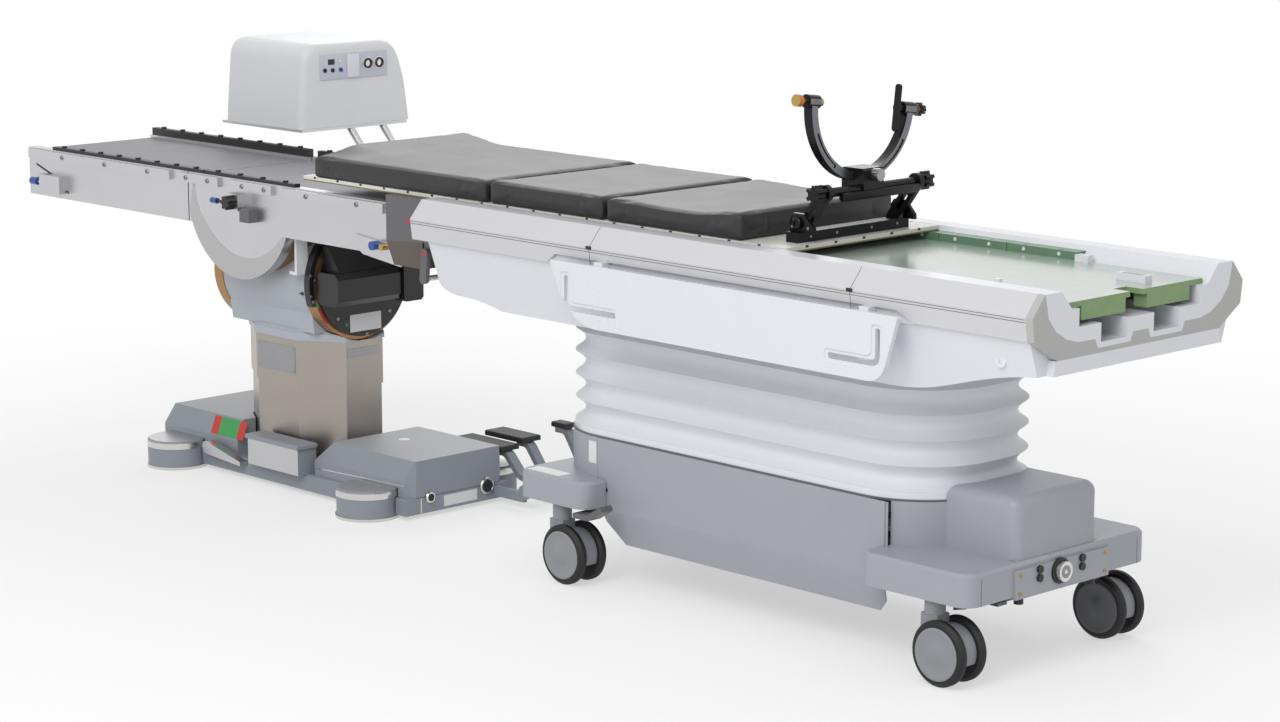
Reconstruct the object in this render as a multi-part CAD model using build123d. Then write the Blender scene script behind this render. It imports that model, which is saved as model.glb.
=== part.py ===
from build123d import *
from math import cos, hypot, radians, sin, sqrt
import os

# Patient transfer table for magnetic resonance imaging: a steel operating-table top on a floor
# column at the left, a wheeled trolley docked to it at the right, and a padded board across both.
# Millimetres. +X runs along the table to the foot end, -Y is the operator's side, +Z is up.
# The origin is on the floor, on the centreline, under the middle of the trolley's casters.

os.makedirs("parts", exist_ok=True)

# Driving dimensions of the whole table
rim_height = 911
trolley_left, trolley_right = -1084, 935
deck_half = 369
steel_left, steel_right = -3030, -1295
steel_half = 235
column_x = -1955
pitch_x = -1990
steel_drop, pitch_drop, roll_drop = 43, 43, 238
steel_height = rim_height - steel_drop
pitch_z = steel_height - pitch_drop
roll_z = pitch_z - roll_drop
stem_x, stem_y = 610, 283
wheel_radius = 75
board_left, board_right = -1655, 130
pad_half = 270
fit = 0.3
running_play = 0.05
overrun = 5
skin = 5


def between(x, y, z):
    """A block that fills three (low, high) ranges."""
    sizes = [high - low for low, high in (x, y, z)]
    middles = [(high + low) / 2 for low, high in (x, y, z)]
    return Pos(*middles) * Box(*sizes)


def rod_x(x, y, z, radius):
    """A round rod along X from x[0] to x[1]."""
    return Pos((x[0] + x[1]) / 2, y, z) * Rot(0, 90, 0) * Cylinder(radius, x[1] - x[0])


def rod_y(x, y, z, radius):
    """A round rod along Y from y[0] to y[1]."""
    return Pos(x, (y[0] + y[1]) / 2, z) * Rot(90, 0, 0) * Cylinder(radius, y[1] - y[0])


def rod_z(x, y, z, radius):
    """A round rod along Z from z[0] to z[1]."""
    return Pos(x, y, (z[0] + z[1]) / 2) * Cylinder(radius, z[1] - z[0])


def rod_between(start, end, radius):
    """A round rod from one point to another."""
    run = [b - a for a, b in zip(start, end)]
    length = sqrt(sum(part * part for part in run))
    return Solid.make_cylinder(radius, length, Plane(origin=start, z_dir=run))


def along_x(points, x):
    """A profile of (y, z) points, extruded from x[0] to x[1]."""
    return extrude(Plane.YZ.offset(x[0]) * Polygon(*points, align=None), amount=x[1] - x[0], dir=(1, 0, 0))


def strips(upper, lower, x):
    """Touching convex strips along X between two lines of (y, z) points, one for each step."""
    steps = zip(lower, lower[1:], upper[1:], upper)
    return [along_x(list(dict.fromkeys(corners)), x) for corners in steps]


def sheet(face, y):
    """A face drawn in (x, z), extruded from y[0] to y[1]."""
    return extrude(Plane.XZ.offset(-y[0]) * face, amount=y[1] - y[0], dir=(0, 1, 0))


def along_y(points, y):
    """An outline of (x, z) points, extruded from y[0] to y[1]."""
    return sheet(Polygon(*points, align=None), y)


def bar(path, bend, thick, y):
    """A flat bar that follows (x, z) points with rounded bends, from y[0] to y[1]."""
    return sheet(trace(FilletPolyline(*path, radius=bend), thick), y)


def link(start, end, radius, y):
    """A flat link with round ends between two (x, z) points, from y[0] to y[1]."""
    length = hypot(end[0] - start[0], end[1] - start[1])
    side_x, side_z = radius * (end[1] - start[1]) / length, radius * (end[0] - start[0]) / length
    outline = [(start[0] - side_x, start[1] + side_z), (end[0] - side_x, end[1] + side_z),
               (end[0] + side_x, end[1] - side_z), (start[0] + side_x, start[1] - side_z)]
    ends = rod_y(start[0], y, start[1], radius) + rod_y(end[0], y, end[1], radius)
    return along_y(outline, y) + ends


def both_sides(points):
    """A half profile at +Y, from the middle outwards and back, closed by its mirror image."""
    return points + [(-a, b) for a, b in reversed(points)]


def twin(piece):
    """The same piece on the other side of the table."""
    return mirror(piece, about=Plane.XZ)


def paired(pieces):
    """Pieces of one side and their twins."""
    return pieces + [twin(piece) for piece in pieces]


def raised(points, level):
    """Points given as (place, drop below a level), as (place, height)."""
    return [(place, level - drop) for place, drop in points]


def below(level, drops):
    """Two heights, given as drops below a level."""
    return tuple(level - drop for drop in drops)


def star(radius, lobes, length):
    """A knob along Z with a scalloped rim, standing on its own origin."""
    stand = (Align.CENTER, Align.CENTER, Align.MIN)
    knob = Cylinder(radius, length, align=stand)
    bite = Cylinder(radius / lobes * 2, length, align=stand)
    for i in range(lobes):
        turn = radians(360 / lobes * i)
        knob -= Pos(radius * cos(turn), radius * sin(turn), 0) * bite
    return knob


def save(name, *pieces):
    """Write the solids of one node to its own file."""
    solids = [solid for piece in pieces for solid in piece.solids()]
    export_step(Compound(solids), f"parts/{name}.step")


# Column base
base_left, base_right = -2470, -1340
base_half = 185
base_top = 58
base_clear = 12
foot_radius, foot_height = 89, 82
foot_y = 212
foot_left_x, foot_right_x = -2342, -1468
foot_rim, foot_rim_height = 4, 8
foot_band_z = (60, 76)
housing_top, housing_edge_z = 158, 100
housing_top_inset, housing_low_inset = 35, 13
housing_top_half, housing_low_half = base_half - housing_top_inset, base_half - housing_low_inset
housing_left_x, housing_right_x = (-2458, -2105), (-1750, -1340)
housing_left_slope, housing_right_slope, housing_corner = 24, 62, 24


def feet_places():
    return [(x, y) for x in (foot_left_x, foot_right_x) for y in (-foot_y, foot_y)]


def corner_feet():
    """Four round feet with a steel band at the top and a rim at the floor."""
    feet = []
    for x, y in feet_places():
        drum = rod_z(x, y, (foot_rim_height, foot_height), foot_radius - foot_rim)
        drum += rod_z(x, y, (0, foot_rim_height), foot_radius)
        drum += rod_z(x, y, foot_band_z, foot_radius - foot_rim / 2)
        feet.append(chamfer(drum.edges().group_by(Axis.Z)[-1], foot_rim))
    return feet


# The column is a long octagon; its upper sleeve slides over the lower one.
column_half_length, column_half_width = 219, 140
column_flat_length, column_flat_width = 93, 65
sleeve_wall = 4
neck_height, sleeve_length, sleeve_lap = 167, 130, 40
sleeve_top = roll_z - neck_height
sleeve_split = sleeve_top - sleeve_length
lower_sleeve_top = sleeve_split + sleeve_lap


def octagon(inset, z):
    """The column's outline, drawn in by inset, from z[0] to z[1]."""
    long, wide = column_half_length - inset, column_half_width - inset
    flat_x, flat_y = column_flat_length - inset / 2, column_flat_width - inset / 2
    corners = [(long, flat_y), (flat_x, wide), (-flat_x, wide), (-long, flat_y)]
    corners += [(-a, -b) for a, b in corners]
    outline = Polygon(*corners, align=None)
    return Pos(column_x, 0, z[0]) * extrude(outline, amount=z[1] - z[0], dir=(0, 0, 1))


def lower_sleeve():
    inset = sleeve_wall + fit
    hollow = octagon(inset + sleeve_wall, (base_top, lower_sleeve_top + overrun))
    return octagon(inset, (base_top, lower_sleeve_top)) - hollow


wedge_x, wedge_z = (-2200, -2040), 72
wedge_gap, wedge_thick = 3, 26
wedge_y = (-base_half - wedge_gap - wedge_thick, -base_half - wedge_gap)
wedge_half, wedge_tip = 18, 12
wedge_pin, wedge_pin_depth = 6, 24


def housing_profile():
    wall = [(housing_low_half, base_top), (housing_low_half, housing_edge_z)]
    return both_sides(wall + [(housing_top_half, housing_top)])


def base_housings():
    """The two sheet housings, the box between them, and the sockets on the right end."""
    column_room = octagon(-fit, (base_top, housing_top + overrun))
    left = along_x(housing_profile(), housing_left_x) - column_room
    right = along_x(housing_profile(), housing_right_x) - column_room
    for x, y in feet_places():
        room = rod_z(x, y, (0, foot_height + fit), foot_radius + fit)
        left, right = left - room, right - room
    for slope, start in ((housing_left_slope, housing_left_x[0]), (housing_right_slope, housing_right_x[0])):
        corner = [(start - overrun, housing_edge_z), (start, housing_edge_z), (start + slope, housing_top),
                  (start + slope, housing_top + overrun), (start - overrun, housing_top + overrun)]
        wedge = along_y(corner, (-base_half, base_half))
        left, right = (left - wedge, right) if start < column_x else (left, right - wedge)
    left -= rod_y(wedge_x[0], (-base_half, wedge_y[1] + wedge_pin_depth), wedge_z, wedge_pin + running_play)
    right = chamfer(right.edges().filter_by(Axis.Z).group_by(Axis.X)[-1], housing_corner)
    return [left, right] + front_box() + sockets()


box_x, box_y, box_top = (-1998, -1770), (-215, -150), 132
box_cap = 6


def front_box():
    body = between(box_x, box_y, (base_top, box_top))
    wide_x = (box_x[0] - box_cap, box_x[1] + box_cap)
    cap = between(wide_x, (box_y[0] - box_cap, box_y[1]), (box_top, box_top + box_cap * 2))
    return [body, chamfer(cap.edges().group_by(Axis.Z)[-1], box_cap / 2)]


socket_y, socket_radius = 100, 21
inlet_y, inlet_radius = -102, 13
socket_z, socket_depth = 54, 7


def sockets():
    x = (base_right, base_right + socket_depth)
    return [rod_x(x, socket_y, socket_z, socket_radius), rod_x(x, inlet_y, socket_z, inlet_radius)]


# Foot pedals, on a cross tube beyond the right end of the base
tube_reach, tube_z, tube_radius = 125, 50, 12
tube_x = base_right + tube_reach
tube_end = 480
stay_y, stay_z = (125, 139), (22, 50)
treadle_y, treadle_half, treadle_z = (214, 294, 450), (35, 36, 20), (130, 143, 156)
treadle_far, treadle_near = (353, 313, 225), (153, 153, 165)
pad_thick, pad_rim = 14, 6
pedal_arm, pedal_arm_half, pedal_boss = 16, 14, 20
pedal_bend = 28


def base_plate():
    """The floor plate, with the stay and cross tube that carry the pedals."""
    plate = between((base_left, base_right), (-base_half, base_half), (base_clear, base_top))
    plate = chamfer(plate.edges().group_by(Axis.Z)[-1], foot_rim)
    for x, y in feet_places():
        plate -= rod_z(x, y, (0, foot_height), foot_radius + fit)
    stay = between((base_right - overrun, tube_x), stay_y, stay_z)
    boss = rod_y(tube_x, stay_y, tube_z, pedal_boss)
    return plate + stay + boss + rod_y(tube_x, (stay_y[0], tube_end), tube_z, tube_radius)


def foot_pedal(y, half, pad_z, far, near):
    """One pedal: a pad, between two reaches from the cross tube, on a bent arm that turns on it."""
    pad_x = (tube_x - far, tube_x - near)
    pad = between(pad_x, (y - half, y + half), (pad_z, pad_z + pad_thick))
    pad = chamfer(pad.edges().filter_by(Axis.Z) + pad.edges().group_by(Axis.Z)[-1], pad_rim / 2)
    under = pad_z - pedal_arm / 2
    path = [(pad_x[1] - pedal_arm * 3, under), (pad_x[1] - pedal_arm / 2, under),
            (pad_x[1] + pedal_arm * 3, tube_z + pedal_arm), (tube_x, tube_z)]
    arm = bar(path, pedal_bend, pedal_arm, (y - pedal_arm_half, y + pedal_arm_half))
    boss_y = (y - pedal_boss, y + pedal_boss)
    arm += rod_y(tube_x, boss_y, tube_z, pedal_boss)
    return [pad, arm - rod_y(tube_x, boss_y, tube_z, tube_radius + running_play)]


def base_lever():
    """A stainless wedge lever beside the left foot, on its own pin."""
    outline = [(wedge_x[0], wedge_z - wedge_half), (wedge_x[0], wedge_z + wedge_half),
               (wedge_x[1], wedge_z - wedge_half), (wedge_x[1], wedge_z - wedge_half - wedge_tip)]
    lever = along_y(outline, wedge_y) + rod_y(wedge_x[0], wedge_y, wedge_z, wedge_half)
    return lever + rod_y(wedge_x[0], (wedge_y[1], wedge_y[1] + wedge_pin_depth), wedge_z, wedge_pin)


# Column head: collar, neck and roll cylinder in one casting
roll_radius = 164
head_x = (-2165, -1790)
collar_height, collar_lip = 30, 5
neck_low_half, neck_high_half = 132, 152
roll_shaft_radius = 40


def upper_sleeve():
    outside = octagon(0, (sleeve_split, sleeve_top))
    return outside - octagon(sleeve_wall, (sleeve_split - overrun, sleeve_top + overrun))


def head_housing():
    collar = octagon(-collar_lip, (sleeve_top, sleeve_top + collar_height))
    collar = chamfer(collar.edges().group_by(Axis.Z)[-1], collar_lip * 2)
    reach = (column_x - column_half_length * 2, column_x + column_half_length * 2)
    collar -= rod_x(reach, 0, roll_z, ring_radius + ring_room)
    neck_z = sleeve_top + collar_height - overrun
    neck = along_x(both_sides([(neck_low_half, neck_z), (neck_high_half, roll_z)]), head_x)
    cylinder = rod_x(head_x, 0, roll_z, roll_radius)
    return collar + neck + cylinder - rod_x(head_x, 0, roll_z, roll_shaft_radius + running_play)


# Roll body: the shaft and rings turn in the cylinder, and carry the pitch drum over it
ring_radius, ring_right_length, ring_left_length = 166, 43, 38
ring_room = 2
drum_radius, drum_cut = 225, 45
drum_top = pitch_z - drum_cut
disc_radius, disc_thick = 237, 30
band_radius, band_length, band_drop = 181, 23, 57
cap_radius, cap_thick = 156, 12
unit_y, unit_length, unit_drops = (-165, 100), 95, (47, -43)
unit_z = below(roll_z, unit_drops)
lump_y, lump_grow = (60, 130), 8
hood_height, ear_thick, ear_foot, ear_height = 111, 9, 24, 33
stop_depth, stop_y, stop_drops = 26, (-130, -62), (73, 21)


def ring_end():
    return head_x[1] + fit + ring_right_length


def drum_span():
    return (-steel_half + disc_thick + fit, steel_half - disc_thick - fit)


def bronze_drums():
    """Rings at both ends of the roll cylinder, their shaft, and the pitch drum across them."""
    left_end = head_x[0] - fit - ring_left_length
    rings = rod_x((head_x[1] + fit, ring_end()), 0, roll_z, ring_radius)
    rings += rod_x((left_end, head_x[0] - fit), 0, roll_z, ring_radius)
    drum = rod_y(pitch_x, drum_span(), pitch_z, drum_radius)
    above = (pitch_x - drum_radius, pitch_x + drum_radius)
    drum -= between(above, drum_span(), (drum_top, pitch_z + drum_radius))
    drum -= rod_x((head_x[0] - fit, head_x[1] + fit), 0, roll_z, roll_radius + fit)
    return drum + rings + rod_x((left_end, ring_end()), 0, roll_z, roll_shaft_radius)


def roll_ring():
    """The black half ring over the right end, the end cap, and a block on the left ring."""
    band_x = (ring_end() - band_length, ring_end())
    band = rod_x(band_x, 0, roll_z, band_radius) - rod_x(band_x, 0, roll_z, ring_radius + fit)
    band -= between(band_x, (0, band_radius), (roll_z - band_radius, roll_z))
    band -= between(band_x, (-band_radius, 0), (roll_z - band_radius, roll_z - band_drop))
    cap = rod_x((ring_end(), ring_end() + cap_thick), 0, roll_z, cap_radius)
    left_end = head_x[0] - fit - ring_left_length
    return [band, cap, between((left_end - stop_depth, left_end), stop_y, below(roll_z, stop_drops))]


def drive_unit():
    """The black motor unit in front of the end cap, its cable hood, and two white ears."""
    x = (ring_end() + cap_thick, ring_end() + cap_thick + unit_length)
    hood_top = roll_z + hood_height
    body = between(x, unit_y, unit_z)
    body = chamfer(body.edges().filter_by(Axis.Y), skin * 3)
    lump_x = (x[0], x[1] + lump_grow)
    lump = between(lump_x, lump_y, (unit_z[0] - lump_grow, unit_z[1] + lump_grow))
    lump = chamfer(lump.edges().filter_by(Axis.X), lump_grow)
    hood_low = unit_z[1] - skin * 3
    hood = [(x[0], hood_low), (x[0], hood_top), (x[0] + skin * 4, hood_top), (x[1] - skin * 3, hood_low)]
    hood_y = (unit_y[0] + skin * 5, lump_y[0] - skin)
    return [body + lump + along_y(hood, hood_y)] + white_ears()


def white_ears():
    """Two ears that tie the drum to the black ring."""
    right = ring_end() - band_length
    y, low = (ring_radius + fit * 2, drum_span()[1]), roll_z + ear_height
    ear = between((right - ear_thick, right), y, (low, drum_top))
    ear += between((right - ear_thick - ear_foot, right), y, (low, low + ear_thick))
    ear -= rod_y(pitch_x, y, pitch_z, drum_radius + fit)
    return [ear, twin(ear)]


# Steel top
section_seam, seam_gap = -2222, 4
steel_depth = 141
steel_bottom = steel_height - steel_depth
web_thick, plate_thick, deck_drop = 12, 8, 8
end_wall = 10
accessory_depth, accessory_height, accessory_drop = 10, 26, 4
accessory_spans = [(-3020, -2300), (-2255, -2070), (-2018, -1826), (-1787, -1346)]
slide_width, near_slide_height, far_slide_height, slide_inset = 20, 9, 22, 5
near_slide_spans = [(-2910, -2155), (-2150, -1740)]
far_slide_spans = [(-3026, -2245), (-2200, -2110)]
slide_button_radius, slide_button_height, slide_button_step = 8, 5, 96


def steel_section(x, walls):
    """One frame section: two side walls, a web below the deck plate, and end walls at walls."""
    inner = steel_half - disc_thick
    side = between(x, (inner, steel_half), (steel_bottom, steel_height))
    web_top = steel_height - deck_drop - plate_thick
    section = side + twin(side) + between(x, (-inner, inner), (web_top - web_thick, web_top))
    for start in walls:
        section += between((start, start + end_wall), (-inner, inner), (steel_bottom + end_wall, web_top))
    return section


def side_disc():
    """The far disc that hangs below the frame, about the pitch axis."""
    disc = rod_y(pitch_x, (steel_half - disc_thick, steel_half), pitch_z, disc_radius)
    lowest = pitch_z - disc_radius - overrun
    span = (pitch_x - disc_radius, pitch_x + disc_radius)
    return disc & between(span, (0, steel_half + overrun), (lowest, steel_bottom + overrun))


def deck_sections():
    left_x = (steel_left, section_seam - seam_gap / 2)
    right_x = (section_seam + seam_gap / 2, steel_right)
    left = steel_section(left_x, (left_x[0], left_x[1] - end_wall))
    right = steel_section(right_x, (right_x[1] - end_wall,))
    return [left, right + side_disc() + twin(side_disc())]


def deck_plates():
    inner = steel_half - disc_thick - fit
    z = (steel_height - deck_drop - plate_thick, steel_height - deck_drop)
    left = (steel_left + end_wall, section_seam - seam_gap / 2)
    right = (section_seam + seam_gap / 2, steel_right - end_wall)
    return [between(span, (-inner, inner), z) for span in (left, right)]


slide_sides = ((-1, near_slide_height, near_slide_spans), (1, far_slide_height, far_slide_spans))


def slide_rails():
    """Black rails on top of the steel frame, with a row of round slide buttons on each."""
    rails = []
    for side, height, spans in slide_sides:
        rail_z = (steel_height, steel_height + height)
        y = sorted((side * (steel_half - slide_inset - slide_width), side * (steel_half - slide_inset)))
        for start, end in spans:
            rail = between((start, end), y, rail_z)
            count = max(1, round((end - start) / slide_button_step))
            for i in range(count):
                x = start + (end - start) / count * (i + 0.5)
                top = (rail_z[0], rail_z[1] + slide_button_height)
                rail += rod_z(x, sum(y) / 2, top, slide_button_radius)
            rails.append(rail)
    return rails


# Clamps on the near side rail of the steel top, with their knobs
end_clamp_x, end_clamp_drops = (-2940, -2835), (124, 72)
end_clamp_z = below(steel_height, end_clamp_drops)
clamp_depth, thread_radius, thread_depth = 27, 5, 18
end_knob_radius, end_knob_length, end_knob_reach = 11, 32, 26
mid_clamp_x, mid_clamp_drops = (-2004, -1956), (84, 38)
mid_clamp_z = below(steel_height, mid_clamp_drops)
mid_block_x, mid_block_drops, mid_block_depth = (-1945, -1902), (112, 76), 30
plate_clamp_x, plate_clamp_drops, plate_clamp_thick = (-1468, -1280), (164, 96), 6
star_radius, star_length, star_reach, star_rod, star_grip = 20, 26, 50, 4, 8
star_lobes = 7
plate_knob_x, plate_knob_drop, plate_knob_radius, plate_knob_length = -1373, 116, 12, 22
plate_knob_z = steel_height - plate_knob_drop
brass_x, brass_radius, brass_length = -1336, 9, 20


def accessory_rails():
    """Side rails of both sides, in segments, with the three clamps on the near side."""
    top = steel_height - accessory_drop
    y = (steel_half, steel_half + accessory_depth)
    rails = []
    for x in accessory_spans:
        rail = between(x, y, (top - accessory_height, top))
        rails += [rail, twin(rail)]
    near = -steel_half
    clamp_y = (near - clamp_depth, near)
    end_clamp = between(end_clamp_x, clamp_y, end_clamp_z)
    end_clamp -= end_knob_shaft(running_play)
    mid_clamp = between(mid_clamp_x, clamp_y, mid_clamp_z) - star_shaft(running_play)
    mid_block = between(mid_block_x, (near - mid_block_depth, near), below(steel_height, mid_block_drops))
    low, high = below(steel_height, plate_clamp_drops)
    left, right = plate_clamp_x
    slant = (high - low) / 2
    outline = [(left, high), (left, low + slant), (left + slant, low + slant / 2), (right, low),
               (right, high - slant / 2)]
    face = near - plate_clamp_thick
    plate = along_y(outline, (face, near)) - plate_knob_shaft(running_play)
    brass = rod_y(brass_x, (face - brass_length, face), plate_knob_z, brass_radius)
    return rails + [end_clamp, mid_clamp, mid_block, plate, brass]


def end_knob_shaft(play):
    y, z = -steel_half - clamp_depth / 2, sum(end_clamp_z) / 2
    x = (end_clamp_x[0] - end_knob_reach, end_clamp_x[0] + thread_depth + play)
    return rod_x(x, y, z, thread_radius + play)


def star_shaft(play):
    x, z = sum(mid_clamp_x) / 2, sum(mid_clamp_z) / 2
    face = -steel_half - clamp_depth
    return rod_y(x, (face - star_length, face + thread_depth + play), z, thread_radius + play)


def plate_knob_shaft(play):
    face = -steel_half - plate_clamp_thick
    return rod_y(plate_knob_x, (face - plate_knob_length, -steel_half), plate_knob_z, thread_radius + play)


def end_knob():
    y, z = -steel_half - clamp_depth / 2, sum(end_clamp_z) / 2
    grip_end = end_clamp_x[0] - end_knob_reach
    return rod_x((grip_end - end_knob_length, grip_end), y, z, end_knob_radius) + end_knob_shaft(0)


def star_knob():
    """The star knob of the middle clamp, with its lever and blue grip."""
    x, z = sum(mid_clamp_x) / 2, sum(mid_clamp_z) / 2
    face = -steel_half - clamp_depth - fit
    knob = Pos(x, face, z) * Rot(90, 0, 0) * star(star_radius, star_lobes, star_length)
    lever_y = face - star_length / 2
    lever = rod_x((x - star_reach, x), lever_y, z, star_rod)
    grip = rod_x((x - star_reach - star_length, x - star_reach), lever_y, z, star_grip)
    return knob + lever + grip + star_shaft(0)


def plate_knob():
    face = -steel_half - plate_clamp_thick - fit
    knob = rod_y(plate_knob_x, (face - plate_knob_length, face), plate_knob_z, plate_knob_radius)
    return knob + plate_knob_shaft(0)


# Instrument case on its bracket, at the far side of the steel top
tray_x, tray_y, tray_rise, tray_thick = (-2790, -2395), (305, 708), 58, 8
tray_top = steel_height + tray_rise
leg_y, leg_radius = (498, 622), 11
arm_x, arm_drop, arm_radius, arm_clamp_half = -2290, 68, 14, 27
arm_z = steel_height - arm_drop
case_inset = 8
case_near, case_far, case_height = 305, 735, 253
case_near_lean, case_far_lean, case_round = 22, 62, 60
case_lean_share, case_shoulder_share = 0.3, 0.55
panel_y, panel_thick = (382, 637), 4
panel_height_shares = (0.56, 0.86)


def instrument_tray():
    """The tray, its two leaning legs, and the arm that clamps them to the far side rail."""
    tray = between(tray_x, tray_y, (tray_top - tray_thick, tray_top))
    leg_x, leg_z = (tray_x[1] - leg_radius * 5, arm_x), (arm_z - leg_radius, tray_top - tray_thick / 2)
    room = between(leg_x, tray_y, leg_z)
    for y in leg_y:
        head = (tray_x[1] - leg_radius * 2, y, tray_top)
        tray += rod_between(head, (arm_x, y, arm_z), leg_radius) & room
    seat = steel_half + clamp_depth
    tray += rod_y(arm_x, (seat, leg_y[1] + leg_radius * 2), arm_z, arm_radius)
    clamp_x = (arm_x - arm_clamp_half, arm_x + arm_clamp_half)
    clamp_z = (arm_z - arm_clamp_half, arm_z + arm_clamp_half)
    return tray + between(clamp_x, (steel_half + fit, seat), clamp_z)


def instrument_case():
    """The white case with leaning sides, and the connector panel on its right end."""
    case_top, shoulder_z = tray_top + case_height, tray_top + case_height * case_shoulder_share
    shoulder = (case_far - case_far_lean * case_lean_share, shoulder_z)
    panel_z = [tray_top + case_height * share for share in panel_height_shares]
    profile = Polygon((case_near, tray_top), (case_far, tray_top), shoulder,
                      (case_far - case_far_lean, case_top), (case_near + case_near_lean, case_top),
                      align=None)
    profile = fillet(profile.vertices().filter_by(lambda corner: corner.Y > tray_top), case_round)
    x = (tray_x[0] + case_inset, tray_x[1] - case_inset)
    case = extrude(Plane.YZ.offset(x[0]) * profile, amount=x[1] - x[0], dir=(1, 0, 0))
    return [case, between((x[1], x[1] + panel_thick), panel_y, panel_z)]


# Trolley base: covers around a steel chassis
plan_x, plan_half, plan_corner = (-731, 546), 237, 200
bellows_low, bellows_drop = 388, 260
bellows_high = rim_height - bellows_drop
cover_x, cover_half, cover_sheet = (-522, 423), 245, 3
cover_low, cover_high, cover_bend, cover_tuck = 108, 367, 190, 14
cover_cut_x, cover_cut_z, cover_corner = 87, 107, 26
cover_knee_shares = (0.3, 0.48)
wall_grow = 6
seam = 3
stem_top = 198
beam_x, beam_y, beam_z = (-640, 706), (110, 150), (230, 258)
cross_half_length, cross_half_width = 36, 308
post_places = (-300, 250)
platform_thick, strip_grow, strip_depth = 5, 3, 12
lift_half_x, lift_half_y, lift_wall = 150, 100, 8
lift_clear = 51
lift_outer_top, lift_inner_low = bellows_high - lift_clear, bellows_low + strip_depth
bar_radius, hanger_half, hanger_thick = 7, 14, 20
left_bar, right_bar = (-520, 184), (670, 178)


def plan_middle():
    return sum(plan_x) / 2


def rounded_plan(grow, z):
    """The bellows' rounded plan, grown by grow, from z[0] to z[1]."""
    plan = RectangleRounded(plan_x[1] - plan_x[0] + grow * 2, (plan_half + grow) * 2, plan_corner + grow)
    return Pos(plan_middle(), 0, z[0]) * extrude(plan, amount=z[1] - z[0])


def lift_block(inset, z):
    x = (plan_middle() - lift_half_x + inset, plan_middle() + lift_half_x - inset)
    return between(x, (-lift_half_y + inset, lift_half_y - inset), z)


def lift_walls(inset, z):
    """The four walls of a square lift tube, drawn in by inset."""
    left, right = plan_middle() - lift_half_x + inset, plan_middle() + lift_half_x - inset
    outer = lift_half_y - inset
    inner = outer - lift_wall
    long_wall = between((left, right), (inner, outer), z)
    ends = [between(x, (-inner, inner), z) for x in ((left, left + lift_wall), (right - lift_wall, right))]
    return [long_wall, twin(long_wall)] + ends


def beams():
    """Two long beams, a cross beam over each pair of casters, and the posts on two cross members."""
    frame = paired([between(beam_x, beam_y, beam_z)])
    for x in (-stem_x, stem_x):
        span = (x - cross_half_length, x + cross_half_length)
        frame.append(between(span, (-cross_half_width, cross_half_width), (stem_top + fit, beam_z[0])))
    reach, member_top = cover_half - cover_sheet, beam_z[1] + hanger_thick
    for x in post_places:
        span = (x, x + beam_y[1] - beam_y[0])
        frame.append(between(span, (-reach, reach), (beam_z[1], member_top)))
        frame += paired([between(span, beam_y, (member_top, cover_high))])
    return frame


def chassis():
    """The beams, the brake bars' hangers, the platform, the outer lift tube and the platform's strip."""
    frame = beams()
    for x, z in (left_bar, right_bar):
        y = (beam_y[0], beam_y[0] + hanger_thick)
        hanger = between((x - hanger_half, x + hanger_half), y, (z - hanger_half, beam_z[0]))
        frame += paired([hanger - rod_y(x, y, z, bar_radius + running_play)])
    platform_top = cover_high + platform_thick
    frame.append(rounded_plan(wall_grow, (cover_high, platform_top)))
    strip_z = (platform_top, bellows_low)
    frame.append(rounded_plan(strip_grow, strip_z) - rounded_plan(-strip_depth, strip_z))
    return frame + lift_walls(0, (platform_top, lift_outer_top))


def side_cover():
    """The far side cover: a bent sheet with a cut lower left corner."""
    outer, inner = cover_half, cover_half - cover_sheet
    profile = [(outer, cover_high), (outer, cover_bend), (outer - cover_tuck, cover_low),
               (inner - cover_tuck, cover_low), (inner, cover_bend), (inner, cover_high)]
    left, right = cover_x
    knee = (left + cover_cut_x * cover_knee_shares[0], cover_low + cover_cut_z * cover_knee_shares[1])
    outline = [(left, cover_high + overrun), (left, cover_low + cover_cut_z), knee,
               (left + cover_cut_x, cover_low), (left + cover_cut_x, cover_low - overrun),
               (right - cover_corner, cover_low - overrun), (right, cover_low + cover_corner),
               (right, cover_high + overrun)]
    return along_x(profile, cover_x) & along_y(outline, (0, outer + overrun))


# Foot covers over the casters
low_cover_half, low_cover_corner, low_cover_chamfer = 321, 40, 7
left_cover_x, left_cover_z = (-740, -490), (198, 266)
right_cover_x, right_cover_z = (412, 735), (190, 265)
hump_x, hump_half, hump_top, hump_round = (500, 722), 145, 405, 18
panel_half, end_panel_thick, end_panel_low = 165, 6, 184
connector_radius, connector_length, connector_y, connector_z = 23, 18, -12, 226
port_radius, port_length = 9, 6
port_places = ((-85, 242), (-85, 222), (65, 242), (65, 222))
bumper_x, bumper_y, bumper_radius, bumper_low, shelf_left = 718, 127, 11, 166, 700


def cover_shell(x, z):
    """A low cover with rounded corners, and the room inside it, open below."""
    width, height = x[1] - x[0], z[1] - z[0]
    outside = extrude(RectangleRounded(width, low_cover_half * 2, low_cover_corner), amount=height)
    outside = chamfer(outside.edges().group_by(Axis.Z)[-1], low_cover_chamfer)
    room = RectangleRounded(width - skin * 2, (low_cover_half - skin) * 2, low_cover_corner - skin)
    middle = Pos(sum(x) / 2, 0, z[0])
    return middle * outside, middle * extrude(room, amount=height - skin)


def upright_wall(span, z):
    """The part of the upper wall between span[0] and span[1], and the room inside it."""
    width = (-low_cover_half, low_cover_half)
    wall = rounded_plan(wall_grow, z) & between(span, width, (z[0] - overrun, z[1] + overrun))
    room_z = (z[0] - skin, z[1] + overrun)
    return wall, rounded_plan(wall_grow - skin, room_z) & between(
        (span[0] - overrun, span[1] + overrun), width, (room_z[0] - overrun, room_z[1] + overrun))


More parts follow.
